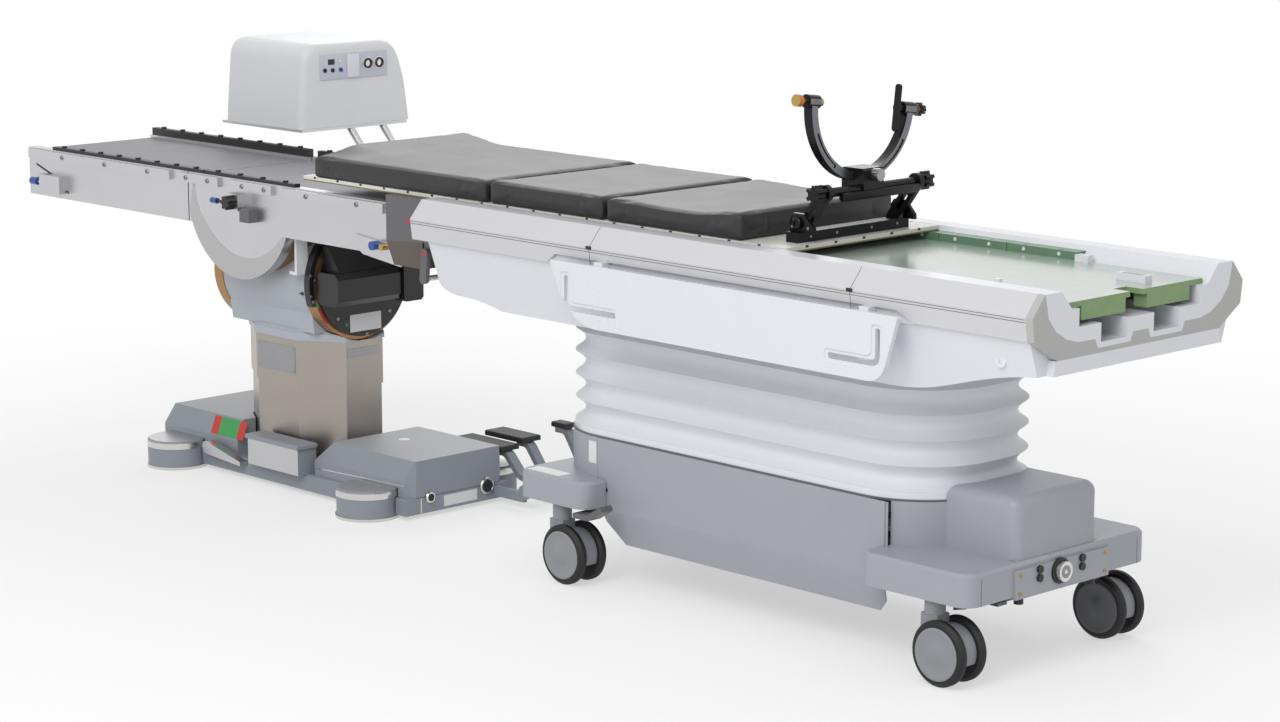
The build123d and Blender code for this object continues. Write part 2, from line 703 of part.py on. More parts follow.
def foot_cover_left():
    low, room = cover_shell(left_cover_x, left_cover_z)
    span = (plan_x[0] - wall_grow - overrun, cover_x[0] - seam)
    wall, wall_room = upright_wall(span, (left_cover_z[1] - skin, cover_high))
    inside = cover_half + seam
    middle = between((cover_x[0] - seam, left_cover_x[1]), (-inside, inside), left_cover_z)
    return low + wall - room - wall_room - middle


def hump():
    """The box that rises over the drive at the foot end, and the room inside it."""
    low = right_cover_z[1] - skin
    box = between(hump_x, (-hump_half, hump_half), (low, hump_top))
    box = chamfer(box.edges().group_by(Axis.Z)[-1] + box.edges().filter_by(Axis.Z), hump_round)
    box -= rounded_plan(wall_grow + fit * 2, (cover_high - fit, hump_top + overrun))
    inside = hump_half - skin
    room = between((hump_x[0] + skin, hump_x[1] - skin), (-inside, inside), (low - skin, hump_top - skin))
    room = chamfer(room.edges().group_by(Axis.Z)[-1] + room.edges().filter_by(Axis.Z), hump_round - skin / 2)
    return box, room - rounded_plan(wall_grow + skin + fit, (cover_high - skin - fit, hump_top + overrun))


def foot_cover_right():
    low, room = cover_shell(right_cover_x, right_cover_z)
    span = (cover_x[1] + seam, plan_x[1] + wall_grow + overrun)
    wall, wall_room = upright_wall(span, (right_cover_z[1] - skin, cover_high))
    inside = cover_half + seam
    middle = between((right_cover_x[0], cover_x[1] + seam), (-inside, inside), right_cover_z)
    box, box_room = hump()
    return cover_sheets(low + wall + box - room - wall_room - box_room - middle) + [end_panel()]


def cover_sheets(cover):
    """The right cover as its roof, upper part, corners, side walls and end wall, around the open room."""
    (left, right), (low, top) = right_cover_x, right_cover_z
    roof, bend = top - skin, low_cover_half - low_cover_corner
    x = (left - overrun, left + low_cover_corner, right - low_cover_corner, right + overrun)
    y = (0, bend, low_cover_half + overrun)
    whole, below_roof = (-y[-1], y[-1]), (low - overrun, roof)
    sheets = [cover & between((x[0], x[-1]), whole, z) for z in ((roof, top), (top, hump_top + overrun))]
    sheets += paired([cover & between(x[:2], span, below_roof) for span in (y[:2], y[1:])])
    sheets += paired([cover & between(x[1:3], (0, y[-1]), below_roof)])
    return sheets + [cover & between(x[2:], whole, below_roof)]


def end_panel():
    """The connector panel at the foot end, with its ports and two rubber bumpers."""
    x = (right_cover_x[1], right_cover_x[1] + end_panel_thick)
    panel = between(x, (-panel_half, panel_half), (end_panel_low, right_cover_z[1] - skin * 3))
    panel += between((shelf_left, x[0]), (-panel_half, panel_half), (end_panel_low, right_cover_z[0]))
    panel += rod_x((x[1], x[1] + connector_length), connector_y, connector_z, connector_radius)
    for y, z in port_places:
        panel += rod_x((x[1], x[1] + port_length), y, z, port_radius)
    bumper = rod_z(bumper_x, bumper_y, (bumper_low, end_panel_low), bumper_radius)
    return panel + bumper + twin(bumper)


# Brake bars turn in hangers below the beams, with a pedal or tab at both sides
pedal_y, brake_pedal_end, brake_pedal_thick = (288, 326), (-425, 214), 14
tab_outer_y, tab_inner_y = (238, 262), (150, 182)
tab_length, tab_drop, tab_thick = 26, 8, 8


def brake_bar_left():
    x, z = left_bar
    path = [(x, z), ((x + brake_pedal_end[0]) / 2, z), brake_pedal_end]
    pedal = bar(path, brake_pedal_thick, brake_pedal_thick, pedal_y)
    return pedal + twin(pedal) + rod_y(x, (-pedal_y[1], pedal_y[1]), z, bar_radius)


def brake_bar_right():
    x, z = right_bar
    low = z - tab_drop
    outline = [(x, z), (x - tab_length, low), (x - tab_length, low - tab_thick), (x + bar_radius, low)]
    outer = along_y(outline, tab_outer_y)
    inner = between((x, x + tab_length + tab_drop), tab_inner_y, (low - tab_thick / 2, low + tab_thick / 2))
    return outer + inner + twin(outer + inner) + rod_y(x, (-tab_outer_y[1], tab_outer_y[1]), z, bar_radius)


# Casters: twin wheels that trail behind a swivel stem
wheel_width, wheel_gap, wheel_edge = 24, 42, 7
trail = 43
axle_radius, hood_radius, hood_open = 8, 61, 22
stem_radius, hood_play, neck_top = 24, 0.5, 155


def caster_wheel(x, y):
    """Two wheels on one axle."""
    centre = x + trail
    inner, outer = wheel_gap / 2, wheel_gap / 2 + wheel_width
    wheels = rod_y(centre, (y - inner, y + inner), wheel_radius, axle_radius)
    for span in ((y - outer, y - inner), (y + inner, y + outer)):
        disc = rod_y(centre, span, wheel_radius, wheel_radius)
        wheels += chamfer(disc.edges().filter_by(GeomType.CIRCLE), wheel_edge)
    return wheels


def caster_fork(x, y):
    """The hood between the wheels, its neck and the swivel stem."""
    centre, half = x + trail, wheel_gap / 2 - hood_play
    side = (y - half, y + half)
    hood = rod_y(centre, side, wheel_radius, hood_radius)
    hood -= between((centre - hood_radius, centre + hood_radius), side, (0, wheel_radius - hood_open))
    neck = between((x - stem_radius, x + stem_radius), side, (wheel_radius + stem_radius, neck_top))
    stem = rod_z(x, y, (neck_top, stem_top), stem_radius)
    return hood + neck + stem - rod_y(centre, side, wheel_radius, axle_radius + running_play)


# Trolley top: white tub with two channels, grey panels along its sides, fascia at its end
channel_inner, channel_outer, channel_depth = 46, 138, 42
shelf_drop, plate_drop, plate_half, glass_thick = 82, 42, 238, 12
shelf_z, plate_z = rim_height - shelf_drop, rim_height - plate_drop
channel_floor = shelf_z - channel_depth
ledge_half, rim_inner, rim_outer = 214, 275, 329
tub_low_drop, tub_under_drop = 136, 115
tub_low, tub_under = rim_height - tub_low_drop, rim_height - tub_under_drop
tub_slope_drops = [(254, 105), (290, 84), (316, 54)]


def tub_underside():
    """The tub's lower line, from the middle outwards to below the rim."""
    inner, outer = channel_inner - skin * 2, channel_outer + skin * 2
    ribs = [(inner - skin * 2, tub_under), (inner, tub_low), (outer, tub_low), (outer + skin * 2, tub_under)]
    return ribs + [(ledge_half, tub_under)] + raised(tub_slope_drops, rim_height)


def tub():
    """The tub's spine, ribs, channel floors, shelves and sloping sides, as touching convex strips."""
    x = (trolley_left, trolley_right)
    start, inner, outer, end, *slope = tub_underside()
    spine = along_x(both_sides([(start[0], shelf_z), start]), x)
    inner_rib = [(start[0], shelf_z), start, inner, (channel_inner, tub_low), (channel_inner, shelf_z)]
    floor = [(channel_inner, tub_low), (channel_outer, tub_low), (channel_outer, channel_floor),
             (channel_inner, channel_floor)]
    outer_rib = [(channel_outer, shelf_z), (channel_outer, tub_low), outer, end, (end[0], shelf_z)]
    shelf = [end, slope[0], (ledge_half, shelf_z), (end[0], shelf_z)]
    rim = [(ledge_half, plate_z), (plate_half, plate_z), (rim_inner, rim_height), (rim_outer, rim_height)]
    side = [along_x(points, x) for points in (inner_rib, floor, outer_rib, shelf)]
    return [spine] + paired(side + strips(rim, slope, x))


panel_edge_drop, panel_wide_drop, panel_low_half = 99, 47, 362
panel_edge_z, panel_wide_z = rim_height - panel_edge_drop, rim_height - panel_wide_drop
panel_notch_height, panel_notch_low, panel_notch_high = 23, (-575, 597), (-545, 554)
panel_notch_z = panel_edge_z + panel_notch_height
panel_thick_top, panel_sheet = 7, 8
fascia_drop, fascia_low_half, fascia_thick = 147, 284, 20
fascia_low = rim_height - fascia_drop
fascia_flat_points = 5


def side_panels():
    """Grey panels along both sides, and the fascia around the tub at the foot end."""
    outer = [(rim_outer, rim_height), (deck_half, panel_wide_z), (panel_low_half, panel_edge_z)]
    inner = [(rim_outer, rim_height - panel_thick_top), (deck_half - panel_sheet, panel_wide_z),
             (panel_low_half - panel_sheet, panel_edge_z)]
    end = trolley_right - fascia_thick
    upper, lower = strips(outer, inner, (trolley_left, end))
    notch = [(panel_notch_low[0], panel_edge_z), (panel_notch_high[0], panel_notch_z),
             (panel_notch_high[1], panel_notch_z), (panel_notch_low[1], panel_edge_z),
             (panel_notch_low[1], panel_edge_z - overrun), (panel_notch_low[0], panel_edge_z - overrun)]
    lower -= along_y(notch, (0, deck_half + overrun))
    under = tub_underside()
    ring = [(y, fascia_low) for y, _ in under[:fascia_flat_points]] + [(fascia_low_half, fascia_low)]
    ring += outer[::-1]
    fascia = strips(under + outer[:1], ring, (end, trolley_right))
    middle = along_x(both_sides([under[0], ring[0]]), (end, trolley_right))
    return paired([upper, lower] + fascia) + [middle]


# White cover below the deck; its lower edge is deepest above the bellows.
under_x, under_top = (-1034, trolley_right - fascia_thick), panel_edge_z
left_drops = [(under_x[0], 211), (-1000, 234), (-915, 240), (-828, 256), (-740, bellows_drop)]
right_drops = [(480, bellows_drop), (620, 244), (720, 217), (821, 193), (under_x[1], 180)]
slope_drops = [(298, bellows_drop), (328, 171), (352, panel_edge_drop)]
under_left, under_right = raised(left_drops, rim_height), raised(right_drops, rim_height)
under_slope = raised(slope_drops, rim_height)
under_wall = 9
bulge_y, bulge_drop, bulge_radius, bulge_length = -238, 169, 26, 58
bracket_x, bracket_half = (-373, 475), 14


def cover_block(lift, inset):
    """The space inside the cover's outline, raised by lift and drawn in by inset."""
    left = Spline(*under_left, tangents=[(0.4, -1), (1, 0)])
    floor = Line(under_left[-1], under_right[0])
    right = Spline(*under_right, tangents=[(1, 0), (1, 0.1)])
    top = Polyline(under_right[-1], (under_x[1], under_top), (under_x[0], under_top), under_left[0])
    face = Pos(0, lift) * make_face(left + floor + right + top)
    half = under_slope[-1][0]
    tall = sheet(face, (-half, half))
    profile = both_sides([(y - inset, z + lift) for y, z in under_slope])
    return tall & along_x(profile, (under_x[0] + inset, under_x[1] - inset))


def lower_cover():
    """The white shell in its sheets, its end lip and bulge, and the brackets of the side guards."""
    shell = cover_block(0, 0) - cover_block(under_wall, under_wall)
    room = rim_inner + skin
    long = (under_x[0] - overrun, under_x[1] + overrun)
    shell -= between(long, (-room, room), (tub_low, under_top + overrun))
    shell -= lift_block(lift_wall, (bellows_high - overrun, bellows_high + under_wall * 2))
    heights = (bellows_high - overrun, under_top + overrun)
    half = under_slope[-1][0] + overrun
    floor = (under_x[0] + under_wall, under_left[-1][0], under_right[0][0], under_x[1] - under_wall)
    cuts = [under_x[0], *floor, under_x[1]]
    pieces = [shell & between(span, (-room, room), heights) for span in zip(cuts, cuts[1:])]
    pieces += paired([shell & between(long, (room, half), heights)])
    bulge_x = (under_x[0] - bulge_length, under_x[0])
    pieces.append(rod_x(bulge_x, bulge_y, rim_height - bulge_drop, bulge_radius))
    lip_half = under_slope[0][0]
    lip_outline = both_sides([(lip_half, under_right[-1][1]), (fascia_low_half + skin, fascia_low)])
    pieces.append(along_x(lip_outline, (under_x[1], trolley_right)))
    return pieces + guard_brackets()


def guard_brackets():
    """Two black brackets on each side, which the guards slide on."""
    face = guard_y - fit
    brackets = []
    for x in bracket_x:
        slope = [(face, guard_z[0] + guard_corner), (face, panel_notch_z - fit),
                 (under_slope[2][0] + fit, panel_notch_z - fit), (under_slope[2][0] + fit, under_top),
                 (under_slope[1][0] + fit, under_slope[1][1])]
        bracket = along_x(slope, (x - bracket_half, x + bracket_half))
        brackets += [bracket, twin(bracket)]
    return brackets


guard_y, guard_thick, guard_drops, guard_corner = 383, 12, (236, 84), 42
guard_z = below(rim_height, guard_drops)
slot_width, slot_bend, slot_drop, slot_height = 14, 30, 195, 72
slot_z = rim_height - slot_drop
slot_left, slot_right, slot_top = (-475, -309), (525, 385), slot_z + slot_height
guard_outline = [(-530, guard_z[1]), (-480, slot_z), (-400, guard_z[0]),
                 (538, guard_z[0]), (585, guard_z[1])]


def side_guard():
    """The far guard: a plate with rounded lower corners and an L-shaped grip slot at each end."""
    plan = Polygon(*guard_outline, align=None)
    plan = fillet(plan.vertices().filter_by(lambda corner: corner.Y < guard_z[1]), guard_corner)
    plate = sheet(plan, (guard_y, guard_y + guard_thick))
    y = (guard_y - overrun, guard_y + guard_thick + overrun)
    for outer, inner in (slot_left, slot_right):
        plate -= bar([(outer, slot_top), (outer, slot_z), (inner, slot_z)], slot_bend, slot_width, y)
    return plate


pleats, pleat_depth, pleat_skin = 4, 24, 2.5
pleat_shares = [(0, 0), (0.22, 0.7), (0.5, 1), (0.78, 0.7)]


def bellows():
    """Pleats of rounded rings that step in and out, closed inside by the same rings drawn in."""
    bay = (bellows_high - bellows_low) / (pleats + 0.5)
    steps = [(i + rise, draw) for i in range(pleats + 1) for rise, draw in pleat_shares]
    rings = [(bellows_low + bay * rise, pleat_depth * draw) for rise, draw in steps[:-1]]

    def shell(inset):
        faces = []
        for z, draw in rings:
            width = plan_x[1] - plan_x[0] - (draw + inset) * 2
            ring = RectangleRounded(width, (plan_half - draw - inset) * 2, plan_corner - draw - inset)
            faces.append(Pos(plan_middle(), 0, z) * ring)
        return loft(faces, ruled=True)

    return shell(0) - shell(pleat_skin)


carriage_x, carriage_half, carriage_thick = (-900, 800), 300, 6


def lift_carriage():
    """The inner lift tube and the plate that carries the tub."""
    gap = lift_wall + fit
    z = (lift_inner_low, tub_low - carriage_thick)
    plate = between(carriage_x, (-carriage_half, carriage_half), (tub_low - carriage_thick, tub_low))
    return lift_walls(gap, z) + [plate]


# Deck plate and rails in the tub
glass_x, glass_half = (-1000, 921), 236
rail_x_near, rail_x_far = (-1000, 620), (-1000, 575)
rail_inner = 230
rail_block, rail_block_gap = 208, 2
rail_drop = 11
rail_top = rim_height - rail_drop


def deck_top():
    return plate_z + glass_thick


def glass_plate():
    """The deck plate, and the two tongues beside the finger notch at its end."""
    notch = glass_x[1] - channel_inner
    plate = between((glass_x[0], notch), (-glass_half, glass_half), (plate_z, deck_top()))
    tongue = between((notch, glass_x[1]), (channel_inner / 2, glass_half), (plate_z, deck_top()))
    return [plate] + paired([tongue])


def slope_y(z):
    """How far out the tub's sloping rim is at a height."""
    return plate_half + (rim_inner - plate_half) * (z - plate_z) / (rim_height - plate_z)


handle_x, handle_y, handle_drop = (800, 880), (84, 108), 14
handle_top = rim_height - handle_drop
stop_place, stop_radius = (677, -172), 9
end_stop_length, end_stop_half = 40, 10
end_block_x, end_block_y, end_block_rise = (885, 921), (38, 190), 9
end_block_low = shelf_z + end_block_rise


def deck_rails():
    """Rail blocks along both rims, small fittings on the plate, and two blocks below its end."""
    deck = deck_top()
    profile = [(rail_inner, deck), (slope_y(deck) - fit * 2, deck), (slope_y(rail_top) - fit * 2, rail_top),
               (rail_inner, rail_top)]
    pieces = []
    for (start, end), side in ((rail_x_near, -1), (rail_x_far, 1)):
        right = end
        while right - start > rail_block / 2:
            left = max(start, right - rail_block)
            block = along_x(profile, (left + rail_block_gap, right))
            pieces.append(block if side > 0 else twin(block))
            right -= rail_block
        y = sorted((side * (rail_inner + end_stop_half), side * (rail_inner - end_stop_half)))
        pieces.append(between((end + rail_block_gap, end + end_stop_length), y, (deck, handle_top)))
    pieces.append(between(handle_x, handle_y, (deck, handle_top)))
    pieces.append(rod_z(*stop_place, (deck, handle_top), stop_radius))
    return pieces + paired([between(end_block_x, end_block_y, (end_block_low, plate_z))])


# Docking blocks and their lever at the left end of the trolley
dock_x, dock_y, dock_drops = (-1276, -1130), (238, 290), (191, 11)
dock_z = below(rim_height, dock_drops)
dock_slope, dock_ear = 30, 22
dock_beam_drops, dock_beam_half = (121, 45), 290
beam_low, beam_high = below(rim_height, dock_beam_drops)
button_x, button_radius, button_height = -1180, 7, 4
lever_x, lever_drop, lever_lean, lever_length = -1110, 146, 7, 67
lever_top = rim_height - lever_drop
lever_low_x, lever_low = lever_x - lever_lean, lever_top - lever_length
lever_half, lever_thick, lever_pin, cross_rod = 13, 12, 6, 7


def docking_block():
    """Two blocks beside the steel top's end, their cross beam, the lever's pins and two buttons."""
    low, high = dock_z
    left, right = dock_x
    slope = [(left, low + dock_slope * 2), (left + dock_slope, low)]
    outline = [(left, high)] + slope + [(right, low), (right, high)]
    block = along_y(outline, dock_y)
    ear_x = (lever_x - lever_half, lever_x + lever_half)
    ear = between(ear_x, (dock_y[1] - dock_ear, dock_y[1]), (lever_top - lever_half, beam_low))
    pin = rod_y(lever_x, (dock_y[1], dock_y[1] + fit + lever_thick), lever_top, lever_pin)
    side = block + ear + pin
    beam = between((right, trolley_left), (-dock_beam_half, dock_beam_half), (beam_low, beam_high))
    button_y = (dock_y[1], dock_y[1] + button_height)
    button = rod_y(button_x, button_y, sum(dock_z) / 2 + dock_slope, button_radius)
    return [side + twin(side) + beam, button, twin(button)]


def docking_lever():
    """Two crank arms on the pins, joined below by a steel cross rod."""
    y = (dock_y[1] + fit, dock_y[1] + fit + lever_thick)
    arm = link((lever_x, lever_top), (lever_low_x, lever_low), lever_half, y)
    arm -= rod_y(lever_x, y, lever_top, lever_pin + running_play)
    return arm + twin(arm) + rod_y(lever_low_x, (-y[1], y[1]), lever_low, cross_rod)


# Transfer board and its three cushions
board_thick, board_half = 12, 264
board_low = rail_top + fit
board_top = board_low + board_thick
foam_height = 56.7
pad_height = board_top + foam_height
head_pad_span, middle_pad_span, foot_pad_span = (-1615, -906), (-902, -480), (-476, -12)
pad_edge, pad_crown, pad_corner = 5, 6, 10
pad_belly_shares = (0.3, 0.75)
head_rise, head_rise_length = 15, 70
ridge_shares = (0.6, 0.7)


def transfer_board():
    return between((board_left, board_right), (-board_half, board_half), (board_low, board_top))


def cushion(span):
    """A foam pad with drawn-in sides and a low crown."""
    belly = [(board_top + foam_height * share, 0) for share in pad_belly_shares]
    crown = [(pad_height - pad_crown, pad_edge), (pad_height, pad_edge * 8)]
    rings = []
    for z, draw in [(board_top, pad_edge)] + belly + crown:
        plan = RectangleRounded(span[1] - span[0] - draw * 2, (pad_half - draw) * 2, pad_corner)
        rings.append(Pos(sum(span) / 2, 0, z) * plan)
    return loft(rings, ruled=True)


def head_cushion(span):
    """The cushion at the head end, which rises in a soft ridge at its left edge."""
    left = span[0] + pad_edge
    half = pad_half - pad_edge * 2
    start, end = (pad_height + head_rise * share for share in ridge_shares)
    ridge = [(left, pad_height - pad_crown * 2), (left + pad_edge, start),
             (left + pad_edge * 4, pad_height + head_rise), (left + head_rise_length, end),
             (left + head_rise_length * 2, pad_height - pad_crown)]
    return cushion(span) + along_y(ridge, (-half, half))


# Head clamp on the right end of the board
clamp_foot_x, clamp_foot_half, clamp_foot_height = (60, 98), 192, 23.7
clamp_foot_top = board_top + clamp_foot_height
clamp_bar_x, clamp_bar_rise, clamp_bar_radius = 150, 94, 11
clamp_bar_z = clamp_foot_top + clamp_bar_rise
arm_y, arm_half, arm_slot_half = (150, 165), 17, 6
arm_slot_shares = (0.3, 0.62)
hub_radius, bar_end, stub_radius, stub_length = 20, 172, 6, 20
clamp_star_radius, clamp_star_length, clamp_star_lobes = 22, 28, 6
block_half, block_drops = 34, (16, -48)
block_low, block_high = below(clamp_bar_z, block_drops)
arc_x, arc_y, arc_rise, arc_radius, arc_thick, arc_width = 119, -10, 190, 165, 20, 26
arc_z = clamp_bar_z + arc_rise
arc_turn, arc_tip_rise = -7, 8


def clamp_frame():
    """Foot bar, two slotted arms and the round cross bar between them."""
    foot = between(clamp_foot_x, (-clamp_foot_half, clamp_foot_half), (board_top, clamp_foot_top))
    pivot = (sum(clamp_foot_x) / 2, clamp_foot_top)
    head = (clamp_bar_x, clamp_bar_z)
    arm = link(pivot, head, arm_half, arm_y)
    low, high = [tuple(a + (b - a) * share for a, b in zip(pivot, head)) for share in arm_slot_shares]
    arm -= link(low, high, arm_slot_half, arm_y)
    arm += rod_y(clamp_bar_x, arm_y, clamp_bar_z, hub_radius)
    reach = (clamp_foot_x[0], clamp_bar_x + hub_radius)
    arm &= between(reach, (0, clamp_foot_half), (board_top, clamp_bar_z + hub_radius))
    bar_y = (-bar_end, bar_end)
    stub_y = (-bar_end - stub_length, bar_end + stub_length)
    cross = rod_y(clamp_bar_x, bar_y, clamp_bar_z, clamp_bar_radius)
    return foot + arm + twin(arm) + cross + rod_y(clamp_bar_x, stub_y, clamp_bar_z, stub_radius)


def clamp_star(side):
    """A star knob on one end of the cross bar; side is -1 near, 1 far."""
    knob = star(clamp_star_radius, clamp_star_lobes, clamp_star_length)
    knob -= Cylinder(stub_radius + running_play, clamp_star_length * 1.5)
    return Pos(clamp_bar_x, side * (bar_end + fit), clamp_bar_z) * Rot(-90 * side, 0, 0) * knob


def in_arc(piece):
    """Place a piece drawn about the arc's centre, turned as the arc is."""
    return Pos(arc_x, arc_y, arc_z) * Rot(arc_turn, 0, 0) * piece


def arc_ring(play):
    outer, inner = arc_radius + arc_thick / 2 + play, arc_radius - arc_thick / 2 - play
    half = arc_width / 2 + play
    return rod_x((-half, half), 0, 0, outer) - rod_x((-half, half), 0, 0, inner)


knurl_radius, knurl_length, knurl_shaft, knurl_shaft_length = 15, 22, 5, 28
knurl_lobes = 14


def block_face():
    return clamp_bar_x + clamp_bar_radius + skin


def knurl_place():
    return Pos(block_face() + fit, arc_y, block_high - knurl_radius) * Rot(0, 90, 0)


def clamp_block():
    """The block that rides on the cross bar and guides the arc."""
    x = (arc_x - arc_width / 2 - skin * 2, block_face())
    block = between(x, (arc_y - block_half, arc_y + block_half), (block_low, block_high))
    block = chamfer(block.edges().filter_by(Axis.Y), skin)
    block -= rod_y(clamp_bar_x, (-bar_end, bar_end), clamp_bar_z, clamp_bar_radius + running_play)
    block -= knurl_place() * Cylinder(knurl_shaft + running_play, (knurl_shaft_length + fit) * 2)
    return block - in_arc(arc_ring(fit))


def knurled_knob():
    """The locking knob on the block, whose shaft presses on the arc."""
    shaft = Pos(0, 0, -knurl_shaft_length / 2) * Cylinder(knurl_shaft, knurl_shaft_length)
    return knurl_place() * (star(knurl_radius, knurl_lobes, knurl_length) + shaft)


holder_radius, holder_length = 16, 38
holder_inner, holder_outer = arc_radius - holder_length / 2, arc_radius + holder_length / 2
pin_radius, pin_ring_radius, pin_ring_length, pin_travel = 6, 14, 14, 20
loop_radius, loop_thick = 9, 5
groove_depth, groove_width, groove_turns = 3, 9, (-62, -26)


def head_arc():
    """The C-shaped arc with grooves in both faces and a pin holder at each tip."""
    big = arc_radius * 2
    arc = arc_ring(0) - between((-big, big), (-big, big), (arc_tip_rise, big))
    half = arc_width / 2
    groove = rod_x((-half, half), 0, 0, arc_radius + groove_width / 2)
    groove -= rod_x((-half, half), 0, 0, arc_radius - groove_width / 2)
    groove -= rod_x((groove_depth - half, half - groove_depth), 0, 0, big)
    start, end = (radians(turn) for turn in groove_turns)
    corners = [(big * cos(turn), big * sin(turn)) for turn in (start, end)]
    wedge = along_x([(0, 0)] + corners, (-half, half))
    arc -= groove & (wedge + twin(wedge))
    for span in ((holder_inner, holder_outer), (-holder_outer, -holder_inner)):
        arc += rod_y(0, span, 0, holder_radius)
        arc -= rod_y(0, (span[0] - overrun, span[1] + overrun), 0, pin_radius + running_play)
    return in_arc(arc)


def near_pin():
    """The sprung pin of the near tip: ring outside, shaft through the holder, loop inside."""
    ring_y = -holder_outer - pin_travel
    ring = rod_y(0, (ring_y - pin_ring_length, ring_y), 0, pin_ring_radius)
    shaft = rod_y(0, (ring_y, -holder_inner + loop_thick), 0, pin_radius)
    loop = rod_y(0, (-holder_inner + fit, -holder_inner + loop_thick + loop_radius), 0, loop_radius)
    return in_arc(ring + shaft + loop)


def torque_knob():
    """The torque screw of the far tip: collar, star grip and end stud."""
    knob_y = holder_outer + pin_ring_length
    shaft = rod_y(0, (arc_radius, holder_outer + fit), 0, pin_radius)
    collar = rod_y(0, (holder_outer + fit, knob_y), 0, pin_ring_radius)
    knob = Pos(0, knob_y, 0) * Rot(-90, 0, 0) * star(holder_radius, clamp_star_lobes, holder_length / 2)
    tip_y = knob_y + holder_length / 2
    return in_arc(shaft + collar + knob + rod_y(0, (tip_y, tip_y + pin_ring_length), 0, loop_thick))


wing_length, wing_half, wing_thick, wing_hub = 48, 8, 7, 10


def wing_lever():
    """The wing lever inside the far tip, on its own shaft."""
    face = holder_inner - holder_length / 2
    hub = rod_y(0, (face, holder_inner - fit), 0, wing_hub)
    shaft = rod_y(0, (holder_inner - fit, arc_radius - fit), 0, pin_radius)
    wing = link((0, -wing_length), (0, wing_length), wing_half, (face, face + wing_thick))
    return in_arc(hub + shaft + wing)


def casters():
    """Names and places of the four casters."""
    return [(f"{end}_{side}", x, y) for end, x in (("left", -stem_x), ("right", stem_x))
            for side, y in (("near", -stem_y), ("far", stem_y))]


save("base_plate", base_plate())
save("base_housings", *base_housings())
save("corner_feet", *corner_feet())
save("lower_sleeve", lower_sleeve())
save("base_lever", base_lever())
treadles = zip(treadle_y, treadle_half, treadle_z, treadle_far, treadle_near)
for number, treadle in enumerate(treadles, start=1):
    save(f"foot_pedal_{number}", *foot_pedal(*treadle))

save("upper_sleeve", upper_sleeve())
save("head_housing", head_housing())
save("bronze_drums", bronze_drums())
save("roll_ring", *roll_ring())
save("drive_unit", *drive_unit())

save("deck_sections", *deck_sections())
save("deck_plates", *deck_plates())
save("accessory_rails", *accessory_rails())
save("slide_rails", *slide_rails())
save("end_knob", end_knob())
save("star_knob", star_knob())
save("plate_knob", plate_knob())
save("instrument_tray", instrument_tray())
save("instrument_case", *instrument_case())

save("chassis", *chassis())
save("side_covers", side_cover(), twin(side_cover()))
save("foot_cover_left", foot_cover_left())
save("foot_cover_right", *foot_cover_right())
save("brake_bar_left", brake_bar_left())
save("brake_bar_right", brake_bar_right())
for name, x, y in casters():
    save(f"caster_fork_{name}", caster_fork(x, y))
    save(f"caster_wheel_{name}", caster_wheel(x, y))

save("bellows", bellows())
save("lift_carriage", *lift_carriage())
save("tub", *tub())
save("side_panels", *side_panels())
save("lower_cover", *lower_cover())
save("guard_far", side_guard())
save("guard_near", twin(side_guard()))
save("glass_plate", *glass_plate())
save("deck_rails", *deck_rails())
save("docking_block", *docking_block())
save("docking_lever", docking_lever())

save("transfer_board", transfer_board())
save("cushion_head", head_cushion(head_pad_span))
save("cushion_middle", cushion(middle_pad_span))
save("cushion_foot", cushion(foot_pad_span))
save("clamp_frame", clamp_frame())
save("clamp_star_near", clamp_star(-1))
save("clamp_star_far", clamp_star(1))
save("clamp_block", clamp_block())
save("knurled_knob", knurled_knob())
save("head_arc", head_arc())
save("near_pin", near_pin())
save("torque_knob", torque_knob())
save("wing_lever", wing_lever())
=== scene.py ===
# %% [markdown]
# # A patient transfer table, dressed in Blender
# The object is a hospital table in two halves. At the left a steel operating-table top stands on a
# floor column, at the right a wheeled trolley is docked to it, and a padded board lies across both.
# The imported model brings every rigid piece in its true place, so this lesson adds finishes, soft
# pads and the small fittings that make the equipment look real.

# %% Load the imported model
import math

import bmesh
import bpy
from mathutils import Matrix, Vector


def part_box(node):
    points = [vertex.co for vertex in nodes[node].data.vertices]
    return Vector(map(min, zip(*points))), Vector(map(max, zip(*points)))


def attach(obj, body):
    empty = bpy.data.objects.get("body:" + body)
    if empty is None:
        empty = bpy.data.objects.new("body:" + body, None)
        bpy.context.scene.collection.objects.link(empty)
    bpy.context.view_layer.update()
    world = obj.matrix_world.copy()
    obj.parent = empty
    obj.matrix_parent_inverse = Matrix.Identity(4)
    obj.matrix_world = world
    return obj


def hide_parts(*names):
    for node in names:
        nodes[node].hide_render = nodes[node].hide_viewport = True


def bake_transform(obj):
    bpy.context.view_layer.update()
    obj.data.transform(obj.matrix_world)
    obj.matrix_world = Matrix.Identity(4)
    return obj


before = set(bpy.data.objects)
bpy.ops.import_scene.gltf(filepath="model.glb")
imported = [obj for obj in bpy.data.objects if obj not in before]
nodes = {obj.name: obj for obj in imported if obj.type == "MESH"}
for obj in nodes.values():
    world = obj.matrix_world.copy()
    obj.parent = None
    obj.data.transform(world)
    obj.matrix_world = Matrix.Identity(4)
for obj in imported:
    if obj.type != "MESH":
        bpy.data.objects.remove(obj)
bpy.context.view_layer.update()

# %% [markdown]
# ## Working in millimetres
# The scene is in metres, but a workshop drawing is in millimetres, and so are the sizes below.
# One small helper turns a drawing's numbers into a point or a length in the scene.

# %% Millimetres to metres
MM = 0.001


def mm(*values):
    """Lengths in millimetres as metres: one number, or a point."""
    return values[0] * MM if len(values) == 1 else Vector([v * MM for v in values])


# %% [markdown]
# ## Colours
# A colour picked from the object is an sRGB hex value, as in a paint program. The shader wants
# linear light, so each value passes through one function.

